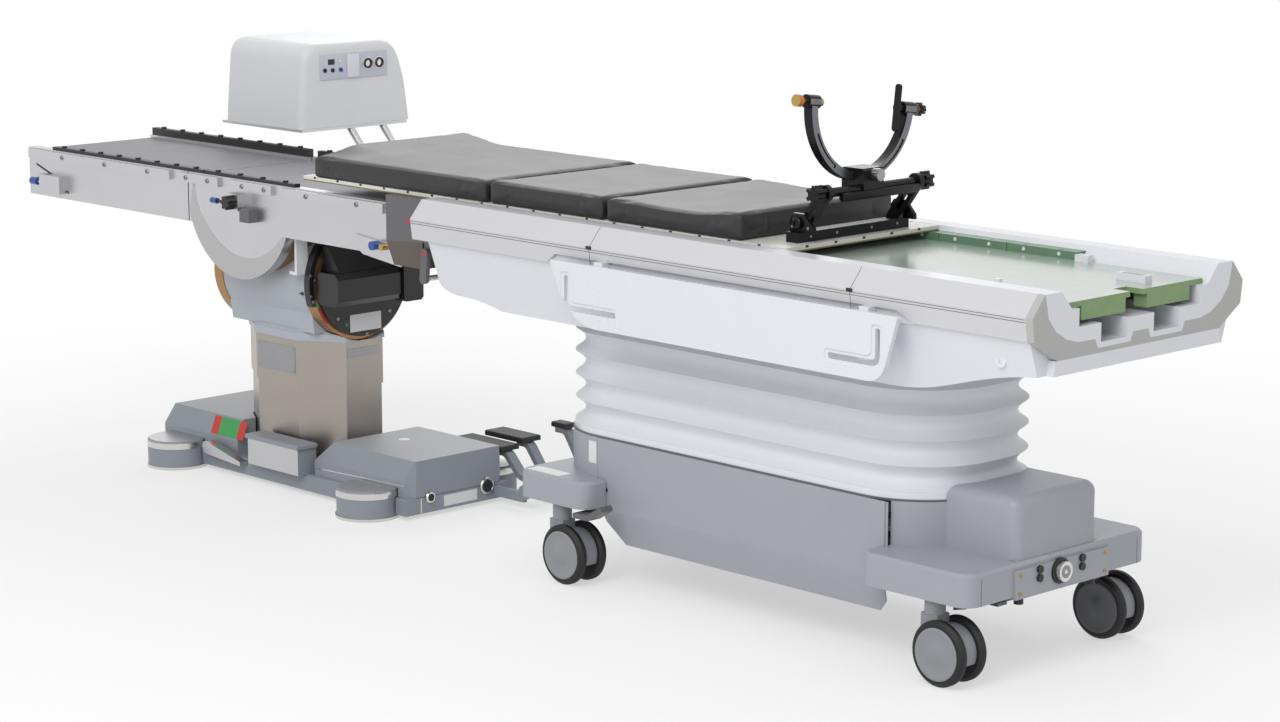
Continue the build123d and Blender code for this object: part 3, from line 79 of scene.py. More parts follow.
# %% Colour from a hex value
def paint(hex_value):
    """An sRGB hex string as linear RGBA."""
    channels = [int(hex_value[i:i + 2], 16) / 255 for i in (1, 3, 5)]
    linear = [c / 12.92 if c <= 0.04045 else ((c + 0.055) / 1.055) ** 2.4 for c in channels]
    return (*linear, 1)


# %% [markdown]
# ## Shader nodes
# Every finish is a few nodes wired together. One function empties a tree, and another adds a node,
# gives it its settings and plugs other nodes' outputs into it, so a finish reads like a recipe.

# %% An empty tree and one shader node
def empty_tree(owner):
    """The node tree of a material or world, with nothing in it."""
    owner.use_nodes = True
    owner.node_tree.nodes.clear()
    return owner.node_tree


def node(tree, kind, settings=None, links=None):
    """A new node; settings go to its inputs or properties, links to its inputs."""
    made = tree.nodes.new("ShaderNode" + kind)
    for name, value in (settings or {}).items():
        if isinstance(name, int) or name in made.inputs:
            made.inputs[name].default_value = value
        else:
            setattr(made, name, value)
    for name, output in (links or {}).items():
        tree.links.new(output, made.inputs[name])
    return made


# %% [markdown]
# Most surfaces here share the same build: a base colour with faint cloudy variation from handling
# and cleaning, a roughness that wanders a little, and a fine relief. What differs is the size of
# each pattern, which is given in millimetres, and its depth. Noise has about one feature per unit
# at scale 1, so a feature of so many millimetres needs a scale of 1000 over that number.

# %% Build a finish from its real sizes
PER_METRE = 1000
RELIEF, COAT_ROUGHNESS, IOR = 0.6, 0.12, 1.5


def finish(name, colour, rough, tint, grain_mm, depth_mm, cloud_mm=90, metallic=0.0, stretch=(1, 1, 1),
           coat=0.0, sheen=0.0, rough_spread=0.06):
    """A material: base colour, clouds of lighter and darker tone, roughness and a fine relief."""
    material = bpy.data.materials.new(name)
    tree = empty_tree(material)
    place = node(tree, "TexCoord").outputs["Object"]
    clouds = node(tree, "TexNoise", {"Scale": PER_METRE / cloud_mm, "Detail": 4.0, "Roughness": 0.6},
                  {"Vector": place})
    pulled = node(tree, "Mapping", {"Scale": stretch}, {"Vector": place})
    grain = node(tree, "TexNoise", {"Scale": PER_METRE / grain_mm, "Detail": 2.0, "Roughness": 0.5},
                 {"Vector": pulled.outputs["Vector"]})
    base = paint(colour)[:3]
    dark, light = ((*(min(1, c * (1 + change)) for c in base), 1) for change in (-tint, tint))
    tone = node(tree, "Mix", {"data_type": "RGBA", 6: dark, 7: light}, {0: clouds.outputs["Fac"]})
    streaks = node(tree, "MapRange", {"To Min": rough - rough_spread, "To Max": rough + rough_spread},
                   {"Value": (grain if metallic else clouds).outputs["Fac"]})
    relief = node(tree, "Bump", {"Strength": RELIEF, "Distance": mm(depth_mm)},
                  {"Height": grain.outputs["Fac"]})
    shader = node(tree, "BsdfPrincipled",
                  {"Metallic": metallic, "IOR": IOR, "Coat Weight": coat, "Coat Roughness": COAT_ROUGHNESS,
                   "Sheen Weight": sheen},
                  {"Base Color": tone.outputs[2], "Roughness": streaks.outputs["Result"],
                   "Normal": relief.outputs["Normal"]})
    node(tree, "OutputMaterial", None, {"Surface": shader.outputs["BSDF"]})
    print("finish made:", name)
    return material


# %% [markdown]
# Each finish below gives its name, colour and roughness, how far its tone varies, and then in
# millimetres its grain, the grain's depth and, where they matter, its clouds.
#
# ## Steel
# The top and the column are stainless steel sheet with a satin grind. The belt leaves fine
# scratches along the sheet, so the noise is squeezed across them and stretched along them. They
# are really a few hundredths of a millimetre apart and are drawn about a millimetre apart to show.

# %% Stainless steel
sheet_steel = finish("satin_ground_stainless_sheet", "#C8C8CA", 0.34, 0.05, 1.0, 0.01, 160, metallic=1.0,
                     stretch=(0.02, 1, 1), rough_spread=0.07)
disc_steel = finish("turned_stainless_disc", "#B9B9BA", 0.42, 0.04, 1.0, 0.01, 120, metallic=1.0,
                    stretch=(0.05, 1, 0.05))
column_steel = finish("vertical_ground_stainless_sleeve", "#A9A29B", 0.36, 0.08, 0.9, 0.012, 140,
                      metallic=1.0, stretch=(1, 1, 0.02), rough_spread=0.08)
bright_steel = finish("polished_stainless_trim", "#D8D6D2", 0.2, 0.03, 0.8, 0.005, metallic=1.0)
screw_steel = finish("machined_steel_screw", "#8F8F90", 0.35, 0.1, 0.8, 0.02, metallic=1.0)

# %% [markdown]
# ## Bronze and brass
# The drum that tilts the top runs on a bronze-coloured hard-anodised shell with a low gloss.
# Small fittings are turned brass, which keeps the same hue but reflects more sharply.

# %% Bronze and brass
bronze = finish("bronze_anodised_drum", "#A8835A", 0.33, 0.12, 1.1, 0.02, 60, metallic=0.85,
                stretch=(1, 0.03, 1), rough_spread=0.08)
brass = finish("turned_brass_fitting", "#B89A5E", 0.3, 0.1, 0.7, 0.02, 20, metallic=1.0)

# %% [markdown]
# ## Paint
# The cast and folded metal covers have a sprayed textured enamel. It dries into tiny rounded
# pimples, about a millimetre and a half apart, which break the highlight without dulling it.

# %% Sprayed enamel
base_enamel = finish("textured_blue_grey_enamel", "#8D929B", 0.45, 0.05, 1.6, 0.05)
# Painted light: a lighter copy of the base enamel for the housings' upward-facing tops.
lit_top_enamel = finish("painted_light_housing_top_enamel", "#A3A6AA", 0.5, 0.05, 1.6, 0.05)
head_enamel = finish("smooth_light_grey_enamel", "#AEB4BC", 0.36, 0.04, 2.2, 0.02)
cover_enamel = finish("satin_grey_cover_enamel", "#A0A3AA", 0.42, 0.04, 1.5, 0.03)
dark_enamel = finish("dark_grey_enamel", "#5F5F62", 0.4, 0.08, 1.5, 0.03)
black_enamel = finish("black_satin_enamel", "#1B1B1D", 0.32, 0.12, 1.4, 0.02)
case_enamel = finish("white_powder_coat", "#DEDFE2", 0.42, 0.03, 1.4, 0.03)

# %% [markdown]
# ## Moulded plastic
# Covers of the trolley are moulded: white ones with a clean gloss, grey ones with a fine leathery
# texture from the mould, which is what keeps fingerprints from showing.

# %% Moulded plastics
white_gloss = finish("moulded_white_gloss_plastic", "#DEDFE5", 0.24, 0.02, 4, 0.01, 220, coat=0.15)
panel_grey = finish("moulded_light_grey_panel", "#CBCBCD", 0.34, 0.025, 2, 0.01, 200)
# Painted shade: a darker copy of the side panels' grey for their end faces.
shaded_fascia_grey = finish("painted_shade_grey_fascia", "#B2B2B0", 0.4, 0.03, 1.2, 0.02)
guard_plastic = finish("moulded_white_guard", "#DDDEE4", 0.26, 0.02, 3, 0.01, 220, coat=0.1)
black_plastic = finish("moulded_black_plastic", "#19191B", 0.42, 0.12, 0.9, 0.03)
drive_plastic = finish("ribbed_black_housing_plastic", "#141416", 0.3, 0.15, 1.3, 0.03)
blue_plastic = finish("blue_knob_plastic", "#24479B", 0.3, 0.08, 1.2, 0.02, coat=0.1)
caster_plastic = finish("moulded_grey_caster_plastic", "#8B8D92", 0.38, 0.05, 1.0, 0.03)
# Painted shade: a darker copy of the caster grey for the far right wheels.
shaded_caster_plastic = finish("painted_shade_caster_plastic", "#5B5C60", 0.38, 0.05, 1.0, 0.03)

# %% [markdown]
# Small parts add a few strong colours: red buttons, orange and green marks, pale blank labels and
# the brown casting under the docking blocks.

# %% Marks, labels and casting
red_plastic = finish("red_button_plastic", "#C22A22", 0.35, 0.06, 1.0, 0.01)
green_mark = finish("green_enamel_mark", "#2E9A4B", 0.35, 0.06, 1.0, 0.01)
orange_mark = finish("orange_anodised_ring", "#C8702A", 0.32, 0.08, 0.8, 0.01)
label_film = finish("pale_polyester_label_film", "#DDDFE0", 0.3, 0.02, 2.0, 0.005)
gold_core = finish("dark_gold_laminate_core", "#7A6E3C", 0.45, 0.1, 1.0, 0.01)
brown_casting = finish("brown_grey_cast_foot", "#5A5048", 0.5, 0.1, 1.6, 0.05)
socket_grey = finish("moulded_blue_grey_socket_panel", "#C6CAD4", 0.4, 0.03, 1.4, 0.02)

# %% [markdown]
# ## Rubber and bellows skin
# Tyres and pedal pads are matt black rubber. The bellows is a coated fabric with a soft satin
# surface that scatters light, so its folds read as gentle bands.

# %% Rubber and coated fabric
tyre_rubber = finish("black_tyre_rubber", "#161617", 0.62, 0.15, 1.0, 0.05)
pedal_rubber = finish("ribbed_pedal_rubber", "#202022", 0.6, 0.15, 1.2, 0.08)
bellows_skin = finish("white_coated_bellows_fabric", "#DBDDE2", 0.5, 0.03, 1.4, 0.03, 130, sheen=0.1)

# %% [markdown]
# ## Glass fibre and green plastic
# The deck plate is a glass-fibre laminate: pale green, with glossy resin on top. Its rail blocks
# are milled from a waxy green plastic that is darker where it is cut. The board is a laminate too.

# %% Laminate and green plastic
deck_laminate = finish("gloss_glass_fibre_laminate", "#A9B5AC", 0.2, 0.07, 3, 0.008, 70, coat=0.5)
edge_green = finish("milled_green_plastic_edge", "#7F9B6C", 0.45, 0.12, 1.0, 0.04, 25)
rail_green = finish("milled_dark_green_plastic", "#64836A", 0.4, 0.15, 1.0, 0.04, 30)
pale_green = finish("milled_pale_green_plastic", "#A3B598", 0.4, 0.1, 1.0, 0.03, 30)
deck_grey = finish("matt_grey_deck_laminate", "#7B7B80", 0.5, 0.05, 1.0, 0.02, 120)
board_edge = finish("white_board_laminate", "#D5D5CE", 0.35, 0.04, 1.0, 0.02, 60)

# %% [markdown]
# ## Anodised clamp
# The head clamp is black anodised aluminium. The face of its arc that points along the table is a
# lighter grey metal, partly real wear and partly a painted highlight of its glinting edges; fittings
# on it are plain or gold coloured metal.

# %% Anodised aluminium
black_anodised = finish("black_anodised_aluminium", "#17171A", 0.3, 0.2, 0.8, 0.01, 40, metallic=0.6)
bare_aluminium = finish("bare_worn_aluminium", "#9A9A9C", 0.3, 0.08, 0.8, 0.01, metallic=1.0)
worn_and_glinting_face = finish("worn_and_highlit_anodised_face", "#77787C", 0.28, 0.25, 0.8, 0.01, 18, metallic=0.9)
brown_ring = finish("brown_anodised_collar", "#6B4030", 0.35, 0.1, 0.8, 0.01, 15, metallic=0.5)
print(len(bpy.data.materials), "materials made so far")


# %% [markdown]
# ## Dressing the rigid pieces
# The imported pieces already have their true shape, so they only get finishes. A piece that the
# maker would assemble from two materials gets a second one on the faces that a small test picks,
# by the middle of the face in millimetres or by the way the face points.

# %% Give nodes their finishes
FACING = 0.9


def dress(names, main, *others):
    """Cover nodes with main, and with each other (material, test) where test(centre, normal) holds."""
    for name in names.split():
        mesh = nodes[name].data
        mesh.materials.clear()
        for material in [main] + [material for material, _ in others]:
            mesh.materials.append(material)
        for face in mesh.polygons:
            face.material_index = 0
            for index, (_, test) in enumerate(others, start=1):
                if test(face.center / MM, face.normal):
                    face.material_index = index
    print("dressed:", names)


def inside(centre, low, high):
    """Whether a face's middle lies between two corners."""
    return all(a < value < b for a, value, b in zip(low, centre, high))


# %% [markdown]
# ### The column and its base
# Steel bands ring the round feet, the housings' tops are a lighter copy of their enamel as painted
# light from above, and the column itself is bare ground steel.

# %% Column and base
FOOT_BAND, FOOT_RIM = (59, 77), 9
LIT_TOP_ABOVE, HOUSING_END = 150, -1339.5
STEEL_BOX = (-2000, -216, 0), (-1765, -149, 132)
PEDAL_PAD, PAD_END = 15, -1360
BRACKET_X, BRACKET_Y = -1768, 166
dress("base_plate", base_enamel)
# Painted light: the housings' upward-facing tops take the lighter copy of their enamel.
dress("base_housings", base_enamel,
      (lit_top_enamel, lambda c, n: n.z > FACING and c.z > LIT_TOP_ABOVE),
      (sheet_steel, lambda c, n: inside(c, *STEEL_BOX) and n.y < -0.5),
      (black_plastic, lambda c, n: c.x > HOUSING_END))
dress("corner_feet", base_enamel,
      (bright_steel, lambda c, n: FOOT_BAND[0] < c.z < FOOT_BAND[1] or c.z < FOOT_RIM),
      (sheet_steel, lambda c, n: n.z > FACING and c.z > FOOT_BAND[1]))
dress("lower_sleeve upper_sleeve", column_steel)
for number in (1, 2, 3):
    pad_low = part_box(f"foot_pedal_{number}")[1].z / MM - PEDAL_PAD
    dress(f"foot_pedal_{number}", base_enamel, (pedal_rubber, lambda c, n: c.z > pad_low and c.x < PAD_END))
dress("head_housing", head_enamel)
dress("bronze_drums", bronze)
dress("roll_ring", black_enamel)
dress("drive_unit", drive_plastic, (case_enamel, lambda c, n: abs(c.y) > BRACKET_Y and c.x < BRACKET_X))

# %% [markdown]
# ### The steel top
# Frame and rails are the same ground steel, the deck plates are a matt laminate, and the narrow
# rails on top are black plastic. The knobs of the three clamps are blue.

# %% Steel top
BRASS_FITTING = (-1346, -300, 742), (-1326, -241.5, 762)
RAIL_CLAMP = (-1946, -300, 755), (-1901, -235, 793)
TRAY_SHADE_LOW, END_KNOB_STEM, STAR_KNOB_END = 910, -2965.5, -2029.5
dress("base_lever deck_sections lift_carriage", sheet_steel)
dress("deck_plates", deck_grey)
dress("accessory_rails", sheet_steel,
      (brass, lambda c, n: inside(c, *BRASS_FITTING)),
      (dark_enamel, lambda c, n: inside(c, *RAIL_CLAMP)))
dress("slide_rails", black_plastic)
dress("end_knob", blue_plastic, (bright_steel, lambda c, n: c.x > END_KNOB_STEM))
dress("star_knob", black_plastic, (blue_plastic, lambda c, n: c.x < STAR_KNOB_END))
dress("plate_knob", blue_plastic)
# Painted shade: the downward faces of the tray's upper plate are black enamel for the shade under the tray.
dress("instrument_tray", sheet_steel, (black_enamel, lambda c, n: n.z < -FACING and c.z > TRAY_SHADE_LOW))

# %% [markdown]
# ### The trolley
# The base covers are grey, the bellows and the shell above it white. The panels along the deck are
# a slightly darker grey than the tub, so the two read as separate mouldings.

# %% Trolley
STRIP, STRIP_LEFT, STRIP_INNER, STEM_BAND = (372.5, 388.5), -760, 100, (155.5, 166)
CONNECTOR_FACE, SOCKETS_FACE, CONNECTOR_Y, CONNECTOR_REACH = 741.5, 741.2, -12, 25
BUMPER_TOP, BUMPER_LEFT, SHADED_FASCIA_X = 183.9, 700, 914.5
CASTING_TOP, BUTTON_Y, ROD_HALF, ROD_TOP = 770, 293, 289, 706
dress("chassis", dark_enamel,
      (white_gloss, lambda c, n: STRIP[0] < c.z < STRIP[1] and c.x > STRIP_LEFT and abs(c.y) > STRIP_INNER))
dress("side_covers foot_cover_left", cover_enamel)
dress("foot_cover_right", cover_enamel,
      (bright_steel, lambda c, n: c.x > CONNECTOR_FACE and abs(c.y - CONNECTOR_Y) < CONNECTOR_REACH),
      (black_plastic, lambda c, n: c.x > SOCKETS_FACE and abs(c.y - CONNECTOR_Y) > CONNECTOR_REACH
       or c.z < BUMPER_TOP and c.x > BUMPER_LEFT))
dress("brake_bar_left brake_bar_right", dark_enamel)
for corner in ("left_near", "left_far", "right_near", "right_far"):
    dress("caster_fork_" + corner, caster_plastic,
          (bright_steel, lambda c, n: STEM_BAND[0] < c.z < STEM_BAND[1]))
    dress("caster_wheel_" + corner, tyre_rubber)
dress("tub lower_cover", white_gloss)
# Painted shade: the end faces of the side panels take a darker copy of their grey.
dress("side_panels", panel_grey, (shaded_fascia_grey, lambda c, n: c.x > SHADED_FASCIA_X))
dress("glass_plate", deck_laminate, (edge_green, lambda c, n: abs(n.z) < 0.5))
dress("docking_block", dark_enamel,
      (brown_casting, lambda c, n: c.z < CASTING_TOP), (red_plastic, lambda c, n: abs(c.y) > BUTTON_Y))
dress("docking_lever", dark_enamel, (bright_steel, lambda c, n: abs(c.y) < ROD_HALF and c.z < ROD_TOP))

# %% [markdown]
# The rail blocks are dark green, with pale green sides along the near rail and a lighter milled foot.
# The small stops, the round knob and the handle are white.

# %% Deck rails
RAIL_LOW, RAIL_TOP, RAIL_SIDE, NEAR_END, FAR_END = 870, 899.5, 229, 620.5, 575.5
dress("deck_rails", rail_green,
      (pale_green, lambda c, n: c.y < 0 and c.z < RAIL_TOP),
      (edge_green, lambda c, n: c.z < RAIL_LOW),
      (white_gloss, lambda c, n: c.z > RAIL_LOW
       and (abs(c.y) < RAIL_SIDE or c.x > NEAR_END or c.y > 0 and c.x > FAR_END)))

# %% [markdown]
# ### Board and clamp
# The board is white along its edges, and the clamp is black with a few bare and coloured fittings.

# %% Board and clamp
PIN_TIP, KNOB_COLLAR = 13, 30
dress("transfer_board", board_edge)
dress("clamp_frame clamp_star_near clamp_star_far clamp_block wing_lever", black_anodised)
# The arc's face towards +x is a lighter grey metal: partly wear, partly painted highlight.
dress("head_arc", black_anodised, (worn_and_glinting_face, lambda c, n: n.x > FACING))
dress("knurled_knob", bare_aluminium)
pin_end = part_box("near_pin")[0].y / MM + PIN_TIP
dress("near_pin", brass, (orange_mark, lambda c, n: c.y < pin_end and n.y > -FACING))
knob_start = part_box("torque_knob")[0].y / MM + KNOB_COLLAR
dress("torque_knob", black_anodised, (brown_ring, lambda c, n: c.y < knob_start))


# %% [markdown]
# ## Camera, light and floor
# The camera stands where the photographer stood: at the foot end, a little above the deck, with a
# long lens, so the parallel edges of the table barely converge.

# %% Camera
CAMERA_PLACE, CAMERA_TURN = (4.989, -5.391, 1.9985), (79.19, 0, 46.17)
LENS_MM, SENSOR_MM = 88.1, 36
scene = bpy.context.scene
bpy.ops.object.camera_add(location=CAMERA_PLACE, rotation=[math.radians(a) for a in CAMERA_TURN])
scene.camera = bpy.context.object
scene.camera.data.lens = LENS_MM
scene.camera.data.sensor_width = SENSOR_MM
print("camera lens:", LENS_MM, "mm")

# %% [markdown]
# A studio sweep gives pale reflections everywhere, so the world is light grey for the object and
# white for the camera, for gloss and for clear parts. Two large soft lamps shape the form: one
# above the near side, one weaker behind.

# %% World and lamps
SKY_STRENGTH = 0.62


def ray_kind(tree, *kinds):
    """1 for a ray of any of these kinds, and 0 for the others."""
    path = node(tree, "LightPath")
    found = path.outputs[kinds[0]]
    for kind in kinds[1:]:
        found = node(tree, "Math", {"operation": "MAXIMUM"}, {0: found, 1: path.outputs[kind]}).outputs[0]
    return found


def lamp(name, place, aim, size, watts):
    """A square soft lamp that points at aim."""
    bpy.ops.object.light_add(type="AREA", location=place)
    made = bpy.context.object
    made.name = name
    made.data.size = size
    made.data.energy = watts
    made.rotation_euler = (Vector(aim) - Vector(place)).to_track_quat("-Z", "Y").to_euler()
    print(name, "gives", watts, "watts")


scene.view_settings.view_transform = "Standard"
scene.world = bpy.data.worlds.new("studio")
tree = empty_tree(scene.world)
strength = node(tree, "MapRange", {"To Min": SKY_STRENGTH, "To Max": 1.0},
                {"Value": ray_kind(tree, "Is Camera Ray", "Is Transmission Ray", "Is Glossy Ray")})
sky = node(tree, "Background", {"Color": (1, 1, 1, 1)}, {"Strength": strength.outputs["Result"]})
node(tree, "OutputWorld", None, {"Surface": sky.outputs[0]})
lamp("key_lamp", (1.5, -4.5, 4.5), (-0.8, 0, 0.6), 3.5, 175)
lamp("back_lamp", (-4.5, 3.5, 4.0), (-1, 0, 0.8), 3.0, 90)

# %% [markdown]
# The floor is plain white. Near the table a camera ray sees half of it as pure white and half as
# lit, which keeps the soft shadow. Further away the white takes over, so that the floor runs into
# the backdrop without a line.

# %% Floor
FLOOR_WHITE, FLOOR_TONE = 0.55, 0.9
FADE_START, FADE_END = 1.9, 3.6
FLOOR_SIZE, FLOOR_PLACE = 60, (-1, 0, -0.0005)
floor_material = bpy.data.materials.new("white_studio_floor")
tree = empty_tree(floor_material)
seen = ray_kind(tree, "Is Camera Ray", "Is Glossy Ray")
place = node(tree, "TexCoord")
away = node(tree, "VectorMath", {"operation": "LENGTH"}, {0: place.outputs["Object"]})
fade = node(tree, "MapRange",
            {"From Min": FADE_START, "From Max": FADE_END, "To Min": FLOOR_WHITE, "To Max": 1.0},
            {"Value": away.outputs["Value"]})
share = node(tree, "Math", {"operation": "MULTIPLY"}, {0: seen, 1: fade.outputs["Result"]})
lit = node(tree, "BsdfDiffuse", {"Color": (FLOOR_TONE, FLOOR_TONE, FLOOR_TONE, 1)})
white = node(tree, "Emission", {"Color": (1, 1, 1, 1), "Strength": 1.0})
mixed = node(tree, "MixShader", None, {0: share.outputs[0], 1: lit.outputs[0], 2: white.outputs[0]})
node(tree, "OutputMaterial", None, {"Surface": mixed.outputs[0]})
bpy.ops.mesh.primitive_plane_add(size=FLOOR_SIZE, location=FLOOR_PLACE)
floor = bpy.context.object
floor.name = "studio_floor"
floor.data.materials.append(floor_material)
print("floor width:", FLOOR_SIZE, "m")


# %% [markdown]
# ## A small kit for making pieces
# New pieces start as primitives at their true size and place and are shaped with the edit-mode
# tools. An operator acts on whatever is selected, so each step first clears the selection and then
# picks exactly what it needs, by place or by the way a face points.

# %% Selecting
def only(piece):
    """Make one object the only selected and active one."""
    if bpy.context.object and bpy.context.object.mode != "OBJECT":
        bpy.ops.object.mode_set(mode="OBJECT")
    bpy.ops.object.select_all(action="DESELECT")
    piece.select_set(True)
    bpy.context.view_layer.objects.active = piece


def pick(piece, kind, test):
    """In edit mode, select the vertices, edges or faces for which test holds."""
    bpy.ops.mesh.select_mode(type=kind)
    bpy.ops.mesh.select_all(action="DESELECT")
    mesh = bmesh.from_edit_mesh(piece.data)
    for part in {"VERT": mesh.verts, "EDGE": mesh.edges, "FACE": mesh.faces}[kind]:
        if test(part):
            part.select = True
    mesh.select_flush_mode()
    bmesh.update_edit_mesh(piece.data)


def draw_out(rise, scale, centre):
    """In edit mode, extrude what is selected upwards and scale it in plan about a centre."""
    bpy.ops.mesh.extrude_region_move(TRANSFORM_OT_translate={"value": (0, 0, mm(rise))})
    bpy.ops.transform.resize(value=(*scale, 1), center_override=mm(*centre))


def face_outwards():
    """In edit mode, select everything and point every face outwards."""
    bpy.ops.mesh.select_all(action="SELECT")
    bpy.ops.mesh.normals_make_consistent(inside=False)


# %% [markdown]
# Some steps are modifiers, applied at once. What repeats is modelled once and copied, each copy
# with a mesh of its own, and small pieces that belong together are joined into one.

# %% Modifier, copy, join and mirror
def modify(piece, kind, **settings):
    """Add a modifier with its settings and apply it."""
    modifier = piece.modifiers.new(kind.lower(), kind)
    for name, value in settings.items():
        setattr(modifier, name, value)
    only(piece)
    bpy.ops.object.modifier_apply(modifier=modifier.name)


def cut(piece, cutter):
    """Take a cutter's shape out of a piece."""
    modify(piece, "BOOLEAN", operation="DIFFERENCE", solver="EXACT", object=cutter)
    bpy.data.objects.remove(cutter, do_unlink=True)


def duplicate(piece):
    """A copy of a piece with a mesh of its own."""
    only(piece)
    bpy.ops.object.duplicate(linked=False)
    return bpy.context.object


def joined(pieces):
    """Several pieces as one object."""
    only(pieces[0])
    for piece in pieces[1:]:
        piece.select_set(True)
    if len(pieces) > 1:
        bpy.ops.object.join()
    return bpy.context.object


def mirrored(piece):
    """A copy of a piece on the other side of the table."""
    made = duplicate(piece)
    made.scale = (1, -1, 1)
    bpy.ops.object.transform_apply()
    bpy.ops.object.mode_set(mode="EDIT")
    face_outwards()
    bpy.ops.object.mode_set(mode="OBJECT")
    return made


def sides(piece):
    """A piece for the near side and its mirror image for the far one."""
    return [("near", piece), ("far", mirrored(piece))]


def both_sides(piece):
    """A piece joined with its mirror image."""
    return joined([piece, mirrored(piece)])


# %% [markdown]
# A finished piece keeps its place in its mesh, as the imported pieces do, so that patterns stay put
# when it rides on a moving body. This helper applies the place, closes the work and names it. The
# pairs above it are the record's slots with the finishes that small pieces share.

# %% Finish a piece
SMOOTH_BELOW = math.radians(35)
BLACK, SCREW, TRIM = ("black_metal", black_plastic), ("stainless", screw_steel), ("stainless", bright_steel)
LABEL, BARE, COVER = ("case_white", label_film), ("knob_steel", bare_aluminium), ("chassis_paint", cover_enamel)
CLAMP, WHITE = ("clamp_black", black_anodised), ("cover_white", white_gloss)


def seat(piece, name, body, slot, material):
    """Apply the place of a piece, or of a list to join, smooth it, and let it ride on its body."""
    piece = joined(piece) if isinstance(piece, list) else piece
    only(piece)
    bpy.ops.object.transform_apply()
    bpy.ops.object.shade_smooth_by_angle(angle=SMOOTH_BELOW)
    piece.name = name
    piece.data.name = name
    piece.data.materials.clear()
    piece.data.materials.append(material)
    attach(piece, body)
    print(name, "has", len(piece.data.polygons), "faces")
    return piece


# %% [markdown]
# Three shapes come back all over the table: a small block with softened edges, a turned part with
# steps, and a plate cut from an outline. Each starts from a primitive.

# %% Softened block
def block(low, high, soft=1.0, segments=2, test=None):
    """A block between two corners in millimetres, its edges bevelled by soft millimetres."""
    bpy.ops.object.select_all(action="DESELECT")
    bpy.ops.mesh.primitive_cube_add(size=1, location=mm(*[(a + b) / 2 for a, b in zip(low, high)]))
    piece = bpy.context.object
    piece.scale = mm(*[b - a for a, b in zip(low, high)])
    bpy.ops.object.transform_apply()
    bpy.ops.object.mode_set(mode="EDIT")
    pick(piece, "EDGE", test or (lambda edge: True))
    bpy.ops.mesh.bevel(offset=mm(soft), segments=segments, affect="EDGES")
    bpy.ops.object.mode_set(mode="OBJECT")
    return piece


def film(low, high, soft=0.2):
    """A thin label, seam or mark: a block with a single small bevel."""
    return block(low, high, soft, segments=1)


# %% Turned part
AXIS_TURN = {"x": (0, math.pi / 2, 0), "y": (-math.pi / 2, 0, 0), "z": (0, 0, 0), "-y": (math.pi / 2, 0, 0)}


def turned(place, axis, steps, count=32):
    """A lathe part: it starts at place and grows along axis through (distance, radius) steps."""
    distance, radius = steps[0]
    bpy.ops.object.select_all(action="DESELECT")
    bpy.ops.mesh.primitive_circle_add(vertices=count, radius=mm(radius), fill_type="NGON",
                                      location=(0, 0, mm(distance)))
    piece = bpy.context.object
    bpy.ops.object.transform_apply()
    bpy.ops.object.mode_set(mode="EDIT")
    bpy.ops.mesh.select_all(action="SELECT")
    for next_distance, next_radius in steps[1:]:
        share = next_radius / radius
        draw_out(next_distance - distance, (share, share), (0, 0, next_distance))
        distance, radius = next_distance, next_radius
    face_outwards()
    bpy.ops.object.mode_set(mode="OBJECT")
    piece.rotation_euler = AXIS_TURN[axis]
    piece.location = mm(*place)
    bpy.ops.object.transform_apply()
    return piece


# %% Plate from an outline
SAME_FACE = 0.01


def plate(outline, depth, plane="xz", at=0.0, soft=0.0, segments=2):
    """A plate: an outline in millimetres in a plane, pushed out by depth, its face edges softened."""
    bpy.ops.object.select_all(action="DESELECT")
    bpy.ops.mesh.primitive_circle_add(vertices=len(outline), radius=1, fill_type="NGON")
    piece = bpy.context.object
    first, second, across = {"xy": (0, 1, 2), "xz": (0, 2, 1), "yz": (1, 2, 0)}[plane]
    for vertex, (a, b) in zip(piece.data.vertices, outline):
        vertex.co[first], vertex.co[second], vertex.co[across] = a * MM, b * MM, at * MM
    push = [0, 0, 0]
    push[across] = depth * MM
    bpy.ops.object.mode_set(mode="EDIT")
    bpy.ops.mesh.select_all(action="SELECT")
    bpy.ops.mesh.extrude_region_move(TRANSFORM_OT_translate={"value": push})
    face_outwards()
    if soft:
        pick(piece, "EDGE",
             lambda edge: abs(edge.verts[0].co[across] - edge.verts[1].co[across]) < mm(SAME_FACE))
        bpy.ops.mesh.bevel(offset=mm(soft), segments=segments, affect="EDGES")
    bpy.ops.object.mode_set(mode="OBJECT")
    return piece


# %% [markdown]
# Sheet outlines have rounded corners or follow an arc, and machine screws have a driver recess, so
# each of these gets a helper too.

# %% Outlines and screws
def rounded(corners, reaches, steps=8):
    """An outline in which each corner becomes a short curve that starts reach millimetres before it."""
    points = []
    for index, (corner, reach) in enumerate(zip(corners, reaches)):
        neighbours = corners[index - 1], corners[(index + 1) % len(corners)]
        start, end = (Vector(corner).lerp(Vector(other), min(reach / math.dist(corner, other), 0.49))
                      for other in neighbours)
        for step in range(steps + 1 if reach else 1):
            share = step / steps
            points.append(start.lerp(Vector(corner), share).lerp(Vector(corner).lerp(end, share), share))
    return points


def arc(centre, radius, start, end, steps=24):
    """Points on an arc between two angles in degrees."""
    turns = [math.radians(start + (end - start) * step / steps) for step in range(steps + 1)]
    return [(centre[0] + radius * math.cos(turn), centre[1] + radius * math.sin(turn)) for turn in turns]


